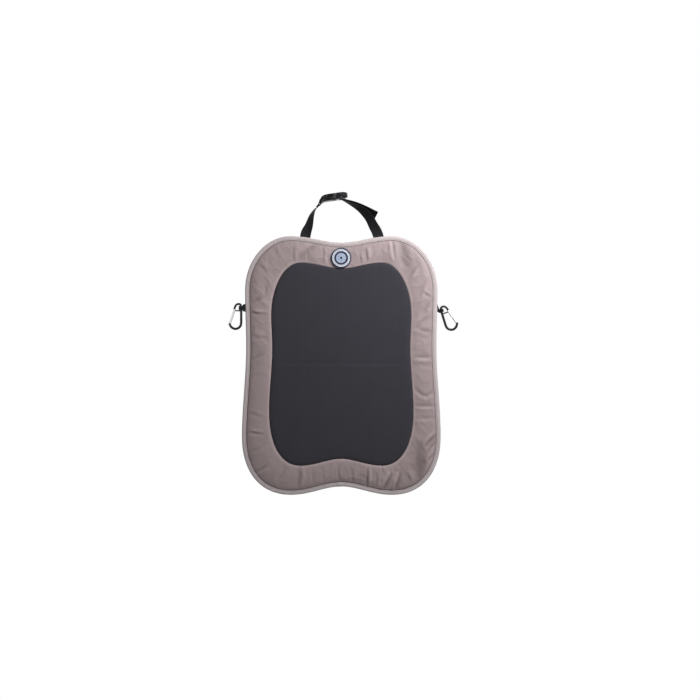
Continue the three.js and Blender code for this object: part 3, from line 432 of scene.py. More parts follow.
# For each crease its points in the photograph, then its width and depth in mm, the height of the
# ridge beside it as a share of the depth, and the side that the ridge is on
CREASES = """
293 242  293.4 251  293 260 | 3.4 0.9 0.5 1
315 245  307 251  299 257.5 | 5.2 1.5 0.6 -1
322.5 248  323 256  322 264 | 2.8 0.7 0.5 1
328 256  328.5 264 | 2.4 0.5 0.5 -1
359.6 254  360.4 262 | 2.2 0.8 0.6 1
365.4 249  366.2 255  366.8 261 | 2.6 1.3 0.6 1
372 246  373 255 | 3 0.5 0.4 -1
381 243  382 254 | 3.4 0.5 0.4 1
392.4 241  393.2 249  394.2 258 | 2.8 1.9 1 -1
401.5 240  403 252  408 269 | 9 2.5 0.3 -1
414 252  417 262  421 276 | 6 0.9 0.4 1
415.5 268.5  412 273  409 277.5 | 2.8 1.5 0.7 1
424 284  421 291  419 297 | 3.6 1 0.6 1
431 297  427 295.5  423.5 293 | 2.8 1.1 0.6 -1
430 303  426 309  424 315 | 3.6 1 0.5 1
431 316  424 320  416.5 327 | 4.2 0.9 0.5 -1
432 332  424 331  417 328.5 | 3.4 0.7 0.5 1
434 356.5  425 357.5  414 357.2 | 3.2 1.5 0.6 1
433 364.5  424 365.5  415 365 | 4 0.6 0.4 -1
416 390  421 394.5  426 396.2  434 391.5 | 3.4 1.4 0.6 -1
436 405.5  426 406.2  414.5 406 | 2.8 1.4 0.6 1
436 417.5  426 418.2  414.5 418.6 | 3.2 0.9 0.5 1
436.5 434.5  433 438  429.5 441.5  426 446 | 3 2.2 0.8 -1
434.5 443.5  430.5 448  427.5 453 | 2.8 1.7 0.8 1
434 455  430.5 458  428 462 | 2.6 1.7 0.8 -1
432 464  428.5 470  426 475 | 3 1 0.7 1
419.5 446  419.8 461  419.5 479 | 9.5 3.2 0.4 1
427 452  424.5 461  423 470 | 5 1.2 0.3 1
367.4 470  366.9 479  366.2 491 | 2.7 2.1 0.9 1
376.8 474  376.4 488 | 2.6 0.9 0.6 1
381.6 467  383 473 | 2.6 0.8 0.5 1
391 475  386.4 484  381 494.5 | 3 2.9 1 -1
399.6 475  397.2 484  393.6 494.5 | 3 2.7 1 -1
407 474  410 481 | 3.2 1 0.6 1
352 470  352.6 482 | 2.8 0.8 0.4 1
250 303.5  256 300.5  263 297.5 | 3 1.2 0.5 -1
250.5 313  256 313.6  265.5 314 | 2.4 1.5 0.6 1
265.2 284  266 297 | 2.6 0.6 0.4 -1
251.5 335  258 338  266 337 | 3.4 0.6 0.4 1
251.5 360  256 357.4  262.5 354.6 | 2.8 1.2 0.5 -1
251 376  258 374.5  266 376 | 3.6 0.5 0.4 1
249 413  254 414.5  261 416.5 | 2.6 0.9 0.5 1
247.5 432.4  254 433  262 434.2 | 2.4 1.3 0.6 1
249 452  257 449.5  264 444 | 3.4 0.6 0.5 -1
255 472.5  260 470.4  266 466.5 | 2.8 1.3 0.6 -1
277 481  282 474  285 467 | 3.2 0.7 0.5 1
299.6 469  299.2 477  297.8 487 | 4 1.5 0.6 1
312.4 470  312.8 481 | 3 0.7 0.5 -1
322.6 467  323 480 | 3.2 0.6 0.4 1
337.8 466  338.4 480 | 2.4 0.7 0.4 -1
257 262  262 268  268 272 | 4.2 0.6 0.4 1
272 246  276 253  279 259 | 4.6 0.6 0.4 -1
"""


def crease_line(row):
    photo, sizes = (np.array(part.split(), float) for part in row.split("|"))
    line = [np.array([(x - MIDDLE_X) * PIXEL, (MIDDLE_Y - y) * PIXEL]) for x, y in photo.reshape(-1, 2)]
    return (line, *sizes)


CREASE_LINES = [crease_line(row) for row in CREASES.strip().splitlines()]


def crease_height(points):
    """Sum of the creases at points of x and z: each a sharp valley and a softer ridge beside it."""
    total = np.zeros(len(points))
    for line, width, depth, ridge, side in CREASE_LINES:
        lengths = [float(np.linalg.norm(b - a)) for a, b in zip(line, line[1:])]
        nearest = np.full(len(points), 1e9)
        signed = np.zeros(len(points))
        share = np.zeros(len(points))
        before = 0.0
        for a, b, length in zip(line, line[1:], lengths):
            d = (b - a) / length
            t = np.clip((points - a) @ d, 0, length)
            away = points - (a + t[:, None] * d)
            distance = np.linalg.norm(away, axis=1)
            closer = distance < nearest
            nearest = np.where(closer, distance, nearest)
            signed = np.where(closer, (away @ np.array([-d[1], d[0]])) * side, signed)
            share = np.where(closer, (before + t) / sum(lengths), share)
            before += length
        beyond = np.sqrt(np.maximum(nearest ** 2 - signed ** 2, 0))
        fade = np.sin(np.pi * np.clip(share * 0.84 + 0.08, 0, 1)) ** 0.5
        fade = fade * np.exp(-(beyond / (width * 1.2)) ** 2)
        valley = -np.exp(-np.abs(signed / width) ** 1.6)
        beside = ridge * np.exp(-((signed - 1.8 * width) / (1.15 * width)) ** 2)
        total += depth * (valley + beside) * fade
    return total


def wander(points, scale, seed, stretch=1.0):
    """Smooth noise between about -1 and 1 at points of x and z."""
    return np.array([noise.noise(Vector((x * scale * stretch, z * scale, seed))) for x, z in points])


TURNS = 2 * math.pi * np.arange(COUNT) / COUNT


def pucker(across, seed, waves, size):
    """Gathers that run across the border: noise along the loop, which hardly changes across it."""
    level = seed + 0.6 * across
    return size * np.array([noise.noise(Vector((waves * math.cos(a), waves * math.sin(a), level))) for a in TURNS])


def smoothstep(t):
    t = np.clip(t, 0, 1)
    return t * t * (3 - 2 * t)


# Front cover

RINGS = 47
CLEAR_OF_FOAM = 0.3
FOAM_SHARES = [0, 0.5, 0.76, 1]
FOAM_LEVELS = [SEAM - 0.9, PUFF - CREASE_ROOM - 0.9, FRONT_MARGIN + 0.3, FRONT_MARGIN]
# Painted light on the cover, as shares of its colour: shade in creases and highlight on their ridges, shade at the
# binding, a highlight where the cloth rises to the panel, and shade on hidden rows
CREASE_PAINTED_SHADING, SEAM_PAINTED_SHADE, RISE_PAINTED_HIGHLIGHT, HIDDEN_PAINTED_SHADE = 0.145, -0.3, 0.24, -0.4


def border_height(share, loop, creases):
    """Height of the cover's face on one ring, at a share of the way from the panel to the binding."""
    base = SEAM + (FRONT_MARGIN_FACE - SEAM) * share
    swell = max(math.sin(math.pi * share), 0.0) ** 0.5
    height = base + (PUFF - 0.5 - base) * swell
    gathers = pucker(share * 2.0, 3.1, 7.0, 0.6) + pucker(share * 3.5, 8.7, 20.0, 0.38)
    gathers += pucker(share * 5.0, 15.2, 48.0, 0.16)
    mottle = wander(loop, 0.030, 1.7) * 0.6 + wander(loop, 0.085, 5.3) * 0.34
    crumple = 1 - np.abs(wander(loop + 7 * wander(loop, 0.05, 3.3)[:, None], 0.045, 12.6)) * 2.4
    mottle += 0.5 * np.clip(crumple, 0, 1) ** 3 - 0.12
    calm = 1 - 0.55 * smoothstep((60 - loop[:, 1]) / 120) * smoothstep((-loop[:, 0]) / 60)
    near_edge = math.exp(-((1 - share) / 0.12) ** 2) + 0.6 * math.exp(-(share / 0.1) ** 2)
    gathers += near_edge * 0.34 * pucker(0.0, 21.0, 64.0, 1.0)
    height = height + (creases + (gathers + mottle) * calm) * min(1.0, swell * 1.1)
    away = np.hypot(loop[:, 0], loop[:, 1] - BADGE_LEVEL)
    flat = smoothstep((BADGE_RADIUS + 13 - away) / 11)
    height = height * (1 - flat) + np.minimum(height, BADGE_SEAT - 0.05) * flat
    lowest = np.interp(share, FOAM_SHARES, FOAM_LEVELS) + COVER + CLEAR_OF_FOAM
    height = 0.5 * (height + lowest + np.sqrt((height - lowest) ** 2 + 0.12))
    limit = PUFF + 0.6
    height = np.where(height > limit, limit + 0.6 * np.tanh((height - limit) / 0.6), height)
    return np.maximum(height, FRONT_MARGIN_FACE + 0.4 * swell)


def border_painted_light_and_mottle(share, loop, creases):
    """Painted highlight where the cloth turns up to the panel's seam, painted shade in creases and at the binding,
    painted highlight on the ridges beside creases, and a random mottle.
    """
    # Painted highlight where the cloth turns up to the panel's seam
    rise = RISE_PAINTED_HIGHLIGHT * math.exp(-((share - 0.05) / 0.045) ** 2)
    # Painted shade where the cloth goes in under the binding
    seam = SEAM_PAINTED_SHADE * math.exp(-((1 - share) / 0.03) ** 2)
    worn = 0.05 * wander(loop, 0.022, 44.0) + 0.04 * wander(loop, 0.07, 48.0)
    # Painted shade in the creases and painted highlight on the ridges beside them, added to the random mottle
    return rise + seam + worn + np.clip(creases, -2.6, 0.8) * CREASE_PAINTED_SHADING


def front_cover():
    shoulder = inset(PANEL_LOOP, PANEL_SHOULDER)
    rows = [raised(shoulder, PANEL_FLOOR - 0.1)]
    # The row under the panel's edge gets painted shade
    painted_light_and_mottle_rows = [np.full(COUNT, HIDDEN_PAINTED_SHADE)]
    even = np.linspace(0, 1, RINGS)
    for share in even - 0.055 * np.sin(2 * math.pi * even):
        loop = PANEL_LOOP * (1 - share) + LIP_LOOP * share
        creases = crease_height(loop)
        if share in (0.0, 1.0):
            rows.append(raised(loop, SEAM if share == 0.0 else FRONT_MARGIN_FACE))
        else:
            rows.append(raised(loop, border_height(share, loop, creases)))
        painted_light_and_mottle_rows.append(border_painted_light_and_mottle(share, loop, creases))
    behind = [
        raised(RIM_LOOP, FRONT_MARGIN_FACE),
        raised(RIM_LOOP, FRONT_MARGIN),
        raised(LIP_LOOP, FRONT_MARGIN),
        raised(PANEL_LOOP * 0.5 + LIP_LOOP * 0.5, PUFF - CREASE_ROOM - COVER),
        raised(PANEL_LOOP, SEAM - COVER),
        raised(shoulder, PANEL_FLOOR - 0.1 - COVER),
    ]
    # The rows behind the face get painted shade
    painted_light_and_mottle_rows += [np.full(COUNT, HIDDEN_PAINTED_SHADE)] * len(behind)
    made = skin("front_cover_sheet", rows + behind, TAUPE)
    # The painted light and shade, with the random mottle, kept on the mesh for the nylon's colour
    layer = made.data.attributes.new("painted_light_and_mottle", "FLOAT", "POINT")
    layer.data.foreach_set("value", np.concatenate(painted_light_and_mottle_rows).astype(np.float32))
    return made


cover = front_cover()
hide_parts("front_cover")

# Centre panel

PANEL_STEPS = 27
PANEL_EDGE = (  # distance in from the edge, and how far the face is rounded off there
    (0.0, 1.35), (0.35, 0.75), (0.9, 0.35), (1.8, 0.12), (3.0, 0.0), (4.5, 0.0), (6.2, 0.0), (8.0, 0.0),
)


def panel_rows():
    """Rings of the panel's face from its edge to near its middle."""
    rows = []
    for depth, drop in PANEL_EDGE:
        rise = math.sin(min(depth / PANEL_SHOULDER, 1) * math.pi / 2)
        height = PANEL_EDGE_FACE + (PANEL_FLOOR - SEAM) * rise - drop
        rows.append(raised(inset(PANEL_LOOP, depth), height + 0.12 * rise * pucker(0.0, 31.0, 40.0, 1.0)))
    inner = inset(PANEL_LOOP, PANEL_SHOULDER)
    for k in range(1, PANEL_STEPS):
        share = 1 - k / PANEL_STEPS
        loop = inner * share
        waves = wander(loop, 0.018, 4.4) * 0.42 + wander(loop, 0.006, 9.1, 2.0) * 0.35
        fold = -0.35 * np.exp(-((loop[:, 1] - 5) / 3.4) ** 2) + 0.28 * np.exp(-((loop[:, 1] + 2.5) / 3.2) ** 2)
        crown = PANEL_CROWN * (1 - share ** 2) + (waves + fold) * min(1.0, (1 - share) * 6)
        rows.append(raised(loop, PANEL_BACK + PANEL_THICKNESS + crown))
    return rows


def centre_panel():
    under = [
        raised(PANEL_LOOP, SEAM + 0.02),
        raised(inset(PANEL_LOOP, PANEL_SHOULDER), PANEL_BACK),
        raised(PANEL_LOOP * 0.5, PANEL_BACK),
    ]
    middle = [(0, -(PANEL_BACK + PANEL_THICKNESS + PANEL_CROWN), 0), (0, -PANEL_BACK, 0)]
    return skin("centre_panel_sheet", panel_rows()[::-1] + under, CHARCOAL, centres=middle)


panel = centre_panel()
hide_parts("centre_panel")

# Edge binding: profiles of distance in from the mat's edge, and height in front of its back

JOIN_X, JOIN_HALF = -3, 5.5


def edge_binding():
    w, t, f, r = BINDING_WIDTH, BINDING, LIP_FACE, LIP_RECESS
    outside = [
        (w + 0.15, f - 0.55), (w - 0.05, f - 0.12), (w - 0.6, f), (w - 1.3, f - 0.12), (w - 1.7, f - 0.3),
        (w - 2.1, f - 0.1), (w - 3.0, f + 0.1), (w - 4.4, f + 0.16), (w - 5.8, f + 0.08), (1.6, f - 0.06),
        (0.95, f - 0.25), (0.45, f - 0.6), (0.12, f - 1.1), (0.0, f - 1.7), (0.0, r + 1.7), (0.12, r + 1.1),
        (0.45, r + 0.5), (1.1, r + 0.12), (2.0, r), (w - 2.3, r + 0.02), (w - 1.7, r + 0.25),
        (w - 1.1, r + 0.02), (w, r + 0.1),
    ]
    inside = [(w, LIP_INSIDE), (t, LIP_INSIDE), (t, LIP_FRONT), (w, LIP_FRONT)]
    ripple = pucker(0.0, 41.0, 60.0, 0.10) + pucker(0.0, 47.0, 18.0, 0.10)
    rows, uv = [], []
    travelled, before = 0.0, outside[0]
    for k, (depth, height) in enumerate(outside + inside):
        on_front = 1.0 if 1 < k < 12 else 0.0
        rows.append(raised(inset(MAT_LOOP, depth), height + ripple * on_front))
        travelled += math.hypot(depth - before[0], height - before[1])
        before = (depth, height)
        uv.append(np.stack([MAT_ALONG, np.full(COUNT, travelled)], 1))
    return skin("edge_binding_tape", rows, TRIM, uv=np.concatenate(uv))


binding = edge_binding()
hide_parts("edge_binding")


def binding_join():
    """The tape's ends, lapped over each other near the bottom dip."""
    w, f, r = BINDING_WIDTH, LIP_FACE, LIP_RECESS
    near = [i for i, (x, z) in enumerate(MAT_LOOP) if abs(x - JOIN_X) < JOIN_HALF and z < 0]
    profile = [
        (w - 0.4, f - 0.2), (w - 0.6, f + 0.35), (w - 1.5, f + 0.5), (w / 2, f + 0.62), (1.4, f + 0.45),
        (0.2, f - 0.3), (-0.35, f - 1.7), (-0.35, r + 1.7), (0.1, r + 0.5), (1.6, r + 0.1), (1.6, r + 1.0),
        (1.6, f - 0.6), (w - 0.6, f - 0.6),
    ]
    loops = [raised(inset(MAT_LOOP, depth), height)[near] for depth, height in profile]
    stations = [np.array([loop[k] for loop in loops]) for k in range(len(near))]
    across = np.arange(len(profile)) * 1.1
    uv = [np.stack([np.full(len(profile), MAT_ALONG[i] * 0.9), across], 1) for i in near] + [np.zeros((2, 2))]
    ends = [stations[0].mean(0), stations[-1].mean(0)]
    return skin("binding_join", stations, TRIM, centres=ends, uv=np.concatenate(uv))


join = binding_join()

# Back cover

BACK_STEPS = 17


def back_cover():
    step = inset(MAT_LOOP, BINDING_WIDTH + 4)
    inner = inset(PANEL_LOOP, -1.5)
    rows = [
        raised(RIM_LOOP, BACK_MARGIN), raised(LIP_LOOP, BACK_MARGIN),
        raised(inset(MAT_LOOP, BINDING_WIDTH + 1.6), 0.75), raised(step, 0.1),
    ]
    for share in (0.12, 0.3, 0.5, 0.7, 0.88):
        loop = step * (1 - share) + inner * share
        rows.append(raised(loop, np.clip(0.35 + 0.35 * pucker(share, 61.0, 16.0, 1.0), 0.02, 1.0)))
    rows += [raised(inner, 0.25), raised(inset(PANEL_LOOP, 0), 0.75)]
    rows += [raised(inset(PANEL_LOOP, 1.5), 0.25), raised(inset(PANEL_LOOP, 4), 0.08)]
    inside = inset(PANEL_LOOP, 7)
    for k in range(1, BACK_STEPS):
        loop = inside * (1 - k / BACK_STEPS)
        rows.append(raised(loop, np.clip(0.3 + 0.3 * wander(loop, 0.02, 66.0), 0.02, 0.9)))
    under = [
        raised(RIM_LOOP, BACK_MARGIN + COVER), raised(LIP_LOOP, BACK_MARGIN + COVER),
        raised(step, 0.9), raised(PANEL_LOOP * 0.5, 0.9),
    ]
    return skin("back_cover_sheet", rows[::-1] + under, BACKING, centres=[(0, -0.3, 0), (0, -0.9, 0)])


back = back_cover()
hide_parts("back_cover")

# Stitches

BINDING_SEAM, PANEL_SEAM = (3.4, 2.7, 0.26), (3.2, 2.5, 0.24)  # pitch, length and thread's radius
STITCH_PROFILE = (  # share of the length, height and girth
    (-0.5, 0.25, 0.35), (-0.38, 0.75, 0.8), (-0.12, 1.0, 1.0), (0.12, 1.0, 1.0), (0.38, 0.75, 0.8), (0.5, 0.25, 0.35),
)
THREAD_SIDES = 6


def stitches(name, loop, height, seam, material, normal=-1.0):
    """Short threads laid along a loop, each sunk at both ends."""
    pitch, length, radius = seam
    along, whole = arc_length(loop)
    along = np.append(along, whole)
    closed = np.concatenate([loop, loop[:1]])

    def at(s):
        return np.array([np.interp(s % whole, along, closed[:, 0]), np.interp(s % whole, along, closed[:, 1])])

    points, faces = [], []
    count = int(whole / pitch)
    for k in range(count):
        first = len(points)
        for share, lift, girth in STITCH_PROFILE:
            s = (k + 0.5) * whole / count + share * length
            x, z = at(s)
            d = at(s + 0.2) - at(s)
            d /= max(np.linalg.norm(d), 1e-9)
            side = np.array([d[1], 0.0, -d[0]])
            centre = np.array([x, -height + normal * (lift - 0.7) * radius, z])
            for q in range(THREAD_SIDES):
                a = 2 * math.pi * q / THREAD_SIDES
                points.append(centre + girth * radius * (side * math.cos(a) + np.array([0, math.sin(a), 0])))
        faces += tube_faces(first, len(STITCH_PROFILE), THREAD_SIDES)
    return mesh_object(name, points, outward(points, faces), material)


seam_line = inset(MAT_LOOP, BINDING_WIDTH - 1.7)
binding_stitch = stitches("binding_stitches", seam_line, LIP_FACE - 0.22, BINDING_SEAM, TAUPE_THREAD)
back_binding_stitch = stitches(
    "back_binding_stitches", seam_line, LIP_RECESS + 0.2, BINDING_SEAM, TAUPE_THREAD, 1.0,
)
panel_stitch = stitches("panel_stitches", inset(PANEL_LOOP, 1.9), PANEL_EDGE_FACE + 0.34, PANEL_SEAM, DARK_THREAD)
back_panel_stitch = stitches("back_panel_stitches", PANEL_LOOP, 0.72, PANEL_SEAM, TAUPE_THREAD, 1.0)

# Badge

BADGE_SIDES, BEAD_SIDES, BEAD_DEPTH = 96, 10, 0.62
BEAD_PROFILE = ((1.0, -0.1), (0.85, 0.14), (0.45, 0.26))


def badge_circle(radius, height, sides, x=0.0, z=0.0):
    turns = [2 * math.pi * q / sides for q in range(sides)]
    y = -(BADGE_BACK + height)
    return [(x + radius * math.cos(a), y, BADGE_LEVEL + z + radius * math.sin(a)) for a in turns]


def badge_disc():
    """A turned disc of rings, with round beads on the pale ring and round the middle."""
    r, t = BADGE_RADIUS, BADGE_THICKNESS
    rings = (  # material, then radius and depth under the badge's face
        (NAVY, ((r - 0.5, t), (r, t - 0.5), (r, 0.7), (r - 0.25, 0.2), (r - 0.8, 0), (r - 1.5, 0), (r - 1.9, 0.15))),
        (PALE, ((r - 2.2, 0.55), (r - 2.5, 0.65), (r - 5.9, 0.65))),
        (NAVY, ((r - 6.2, 0.5), (r - 6.5, 0.1), (r - 6.9, 0), (r - 9.0, 0), (r - 9.4, 0.2))),
        (SKY, ((r - 9.7, 0.5), (7.6, 0.5), (7.2, 0.45), (5.0, 0.4), (2.6, 0.4))),
        (NAVY, ((2.3, 0.3), (1.1, 0.3))),
    )
    profile = [(radius, t - depth, kind) for kind, part in rings for radius, depth in part]
    points = [p for radius, height, _ in profile for p in badge_circle(radius, height, BADGE_SIDES)]
    faces = band_faces(len(profile), BADGE_SIDES)
    kinds = [kind for _, _, kind in profile[:-1] for _ in range(BADGE_SIDES)]
    top, last = len(points), len(points) - BADGE_SIDES
    points += [(0, -(BADGE_BACK + t - 0.3), BADGE_LEVEL), (0, -BADGE_BACK, BADGE_LEVEL)]
    for q in range(BADGE_SIDES):
        p = (q + 1) % BADGE_SIDES
        faces += [(last + q, last + p, top), (q, top + 1, p)]
        kinds += [NAVY, NAVY]
    for ring, count, radius, kind in ((r - 4.2, 30, 0.5, GREY), (5.6, 6, 1.15, NAVY)):
        for k in range(count):
            a = 2 * math.pi * (k + 0.5) / count
            x, z = ring * math.cos(a), ring * math.sin(a)
            base = len(points)
            for share, lift in BEAD_PROFILE:
                points += badge_circle(share * radius, t - BEAD_DEPTH + lift, BEAD_SIDES, x, z)
            tip, rim = len(points), len(points) - BEAD_SIDES
            points.append((x, -(BADGE_BACK + t - BEAD_DEPTH + 0.3), BADGE_LEVEL + z))
            bead = band_faces(len(BEAD_PROFILE), BEAD_SIDES, first=base)
            bead += [(rim + q, rim + (q + 1) % BEAD_SIDES, tip) for q in range(BEAD_SIDES)]
            faces += bead
            kinds += [kind] * len(bead)
    o = mesh_object("badge_disc", points, faces, NAVY)
    slots = [NAVY, PALE, SKY, GREY]
    for extra in slots[1:]:
        o.data.materials.append(extra)
    for polygon, kind in zip(o.data.polygons, kinds):
        polygon.material_index = slots.index(kind)
    return o


badge = badge_disc()
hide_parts("badge")

# Webbing


def resampled(points, steps):
    along = np.concatenate([[0], np.cumsum(np.linalg.norm(np.diff(points[:, :2], axis=0), axis=1))])
    at = np.linspace(0, along[-1], steps + 1)
    return np.stack([np.interp(at, along, points[:, c]) for c in range(points.shape[1])], 1)


def catmull(points, steps):
    """A smooth curve through the points, in evenly spaced steps."""
    p = np.asarray(points, float)
    ends = np.concatenate([[2 * p[0] - p[1]], p, [2 * p[-1] - p[-2]]])
    fine = []
    for k in range(1, len(ends) - 2):
        p0, p1, p2, p3 = ends[k - 1:k + 3]
        d01, d12, d23 = (max(np.linalg.norm(b - a) ** 0.5, 1e-6) for a, b in ((p0, p1), (p1, p2), (p2, p3)))
        m1 = ((p1 - p0) / d01 - (p2 - p0) / (d01 + d12) + (p2 - p1) / d12) * d12
        m2 = ((p2 - p1) / d12 - (p3 - p1) / (d12 + d23) + (p3 - p2) / d23) * d12
        for t in np.linspace(0, 1, 40, endpoint=False):
            leave, reach = (t ** 3 - 2 * t * t + t) * m1, (t ** 3 - t * t) * m2
            fine.append((2 * t ** 3 - 3 * t * t + 1) * p1 + leave + (3 * t * t - 2 * t ** 3) * p2 + reach)
    fine.append(p[-1])
    return resampled(np.array(fine), steps)


def arc(cx, cz, radius, start, stop, steps):
    angles = np.radians(np.linspace(start, stop, steps + 1))
    return [(cx + radius * math.cos(a), cz + radius * math.sin(a)) for a in angles]


def from_buckle(p):
    """A point of the buckle's own plane, as x, z and a turn of 0."""
    rise = math.radians(BUCKLE_RISE)
    return (
        BUCKLE_CENTRE[0] + p[0] * math.cos(rise) - p[1] * math.sin(rise),
        BUCKLE_CENTRE[1] + p[0] * math.sin(rise) + p[1] * math.cos(rise),
        0.0,
    )


def section(width, thickness, ribs, depth):
    """Points round a webbing's cross section: rounded edges and shallow ribs on both faces."""
    half, t = width / 2, thickness / 2
    n = ribs * 4
    top = []
    for k in range(n + 1):
        s = -half + t + (width - 2 * t) * k / n
        top.append((s, t - depth * (0.5 - 0.5 * math.cos(2 * math.pi * k / 4))))
    right = [(half - t + t * math.cos(a), t * math.sin(a)) for a in np.radians([55, 15, -15, -55])]
    return top + right + [(s, -h) for s, h in reversed(top)] + [(-x, -y) for x, y in right]


def ribbon(name, stations, thickness, material, ribs=9, depth=0.12, rippled=None):
    """Webbing through stations of centre, direction across and width, all in millimetres."""
    rows, uv = [], []
    travelled = 0.0
    for k, (at, across, width) in enumerate(stations):
        before, after = stations[max(k - 1, 0)][0], stations[min(k + 1, len(stations) - 1)][0]
        side = across / np.linalg.norm(across)
        along = after - before
        along = along - side * np.dot(along, side)
        face = np.cross(along / max(np.linalg.norm(along), 1e-9), side)
        if k:
            travelled += float(np.linalg.norm(at - stations[k - 1][0]))
        points = section(width, thickness, ribs, depth)
        row = np.array([at + side * s + face * f for s, f in points])
        rows.append(row if rippled is None else rippled(row))
        uv.append(np.array([(travelled, s * STRAP_WIDTH / width) for s, _ in points]))
    ends = [stations[0][0], stations[-1][0]]
    coordinates = np.concatenate(uv + [np.array([[0.0, 0.0], [travelled, 0.0]])])
    return skin(name, rows, material, centres=ends, uv=coordinates)


def turned(points):
    """Stations from points of x, z and turn: at 90 the webbing shows its face, at 0 its edge."""
    p = np.asarray(points, float)
    made = []
    for k, (x, z, turn) in enumerate(p):
        before, after = p[max(k - 1, 0)], p[min(k + 1, len(p) - 1)]
        d = (after - before)[:2]
        d /= max(np.linalg.norm(d), 1e-9)
        a = math.radians(turn)
        across = np.array([-d[1] * math.sin(a), math.cos(a), d[0] * math.sin(a)])
        made.append((np.array([x, -WEBBING_MIDDLE, z]), across, STRAP_WIDTH))
    return made


def crossing(value, known, sought):
    """The furthest place where one coordinate of the mat's outline has the value: its other coordinate."""
    a, b = MAT_LOOP, np.roll(MAT_LOOP, -1, 0)
    with np.errstate(divide="ignore", invalid="ignore"):
        share = (value - a[:, known]) / (b[:, known] - a[:, known])
    met = (share >= 0) & (share <= 1)
    return float((a[met, sought] + share[met] * (b[met, sought] - a[met, sought])).max())


# Way of each strap between its ends: share across, share up, turn
LEFT_WAY = [(0.054, 0.133, 80), (0.254, 0.364, 52), (0.45, 0.673, 28), (0.69, 0.873, 10)]
RIGHT_WAY = [(0.065, 0.172, 76), (0.151, 0.316, 64), (0.269, 0.519, 52), (0.487, 0.738, 36), (0.668, 0.845, 20)]
TAIL_WAY = [
    (0.1, 0.061, -3), (0.267, 0.205, -14), (0.439, 0.369, -24), (0.611, 0.56, -32), (0.798, 0.77, -37), (1, 1, -40),
]


def way_points(start, end, shares):
    across, up = end[0] - start[0], end[1] - start[1]
    return [(start[0] + a * across, start[1] + b * up, turn) for a, b, turn in shares]


def strap_left():
    """Round the socket's bar from below, and folded back on itself."""
    root = (STRAP_ROOT_LEFT, crossing(STRAP_ROOT_LEFT, 0, 1))
    radius = STRAP_BAR_RADIUS + GAP + WEBBING / 2
    slope = math.radians(LEFT_SLOPE)
    bar = (-STRAP_BAR_REACH, -STRAP_BAR_DROP)

    def leg(reach, above, turn=0.0):
        lift = above - radius
        return (*from_buckle((
            bar[0] - lift * math.sin(slope) - reach * math.cos(slope),
            bar[1] + lift * math.cos(slope) - reach * math.sin(slope),
        ))[:2], turn)

    end = leg(6, 0)
    way = [(root[0], root[1] - SEAM_DEPTH, 90), (*root, 90), *way_points(root, end, LEFT_WAY), end]
    bend = [from_buckle(p) for p in arc(*bar, radius, LEFT_SLOPE - 90, LEFT_SLOPE + 90, 20)]
    fold_back = catmull([bend[-1], leg(6.5, 2.4), leg(9, 1.7, 2), leg(13, 1.6, 5)], 16)[1:]
    path = np.concatenate([catmull(way, 110), [leg(4, 0), leg(2, 0)], bend, fold_back])
    return ribbon("strap_left_webbing", turned(path), WEBBING, STRAPPING)


def strap_right():
    """Up through the ladder lock's first slot, over its bar and down the second, and out as the tail."""
    root = (STRAP_ROOT_RIGHT, crossing(STRAP_ROOT_RIGHT, 0, 1))
    clear = GAP + WEBBING / 2
    slope = math.radians(RIGHT_SLOPE)
    left, right = SLOT_BAR_FROM - clear, SLOT_BAR_TO + clear
    turn_in = arc(left + SLOT_TURN, -TURN_IN_DROP, SLOT_TURN, 270 + RIGHT_SLOPE, 180, 8)

    def leg(reach):
        return from_buckle((turn_in[0][0] + reach * math.cos(slope), turn_in[0][1] + reach * math.sin(slope)))

    way = [(root[0] + 0.6, root[1] - SEAM_DEPTH, 90), (*root, 90), *way_points(root, leg(9), RIGHT_WAY), leg(9)]
    over = turn_in + arc(SLOT_BAR_FROM, SLOT_BAR_HALF, clear, 180, 90, 7)
    over += arc(SLOT_BAR_TO, SLOT_BAR_HALF, clear, 90, 0, 7)
    over += arc(right + SLOT_TURN, -TURN_OUT_DROP, SLOT_TURN, 180, 270 + RIGHT_SLOPE, 7)
    over = [from_buckle(p) for p in over]
    out = over[-1]
    fall = math.radians(TAIL_SLOPE)
    end = (out[0] + TAIL_LENGTH * math.cos(fall), out[1] + TAIL_LENGTH * math.sin(fall))
    tail = catmull(way_points(out, end, TAIL_WAY), 48)
    path = np.concatenate([catmull(way, 120), [leg(5), leg(1.2)], over, tail])
    return ribbon("strap_right_webbing", turned(path), WEBBING, STRAPPING)


left_webbing = strap_left()
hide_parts("strap_left")
right_webbing = strap_right()
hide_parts("strap_right")

# Side tabs

TACKS, TACK_RADIUS = 9, 0.22
TACK_PROFILE = ((0.06, 0.4), (0.25, 1.0), (0.75, 1.0), (0.94, 0.4))


def drooped(x, z, hang, straight, gathered):
    """A tab's point moved down and turned as its carabiner pulls it, and the turn there."""
    share = min(max((x - straight) / (gathered - straight), 0.0), 1.0)
    turn = math.radians(share * hang["lean"])
    return (
        x * math.cos(turn) - z * math.sin(turn),
        x * math.sin(turn) + z * math.cos(turn) - hang["below"] - share * hang["sag"],
        turn,
    )


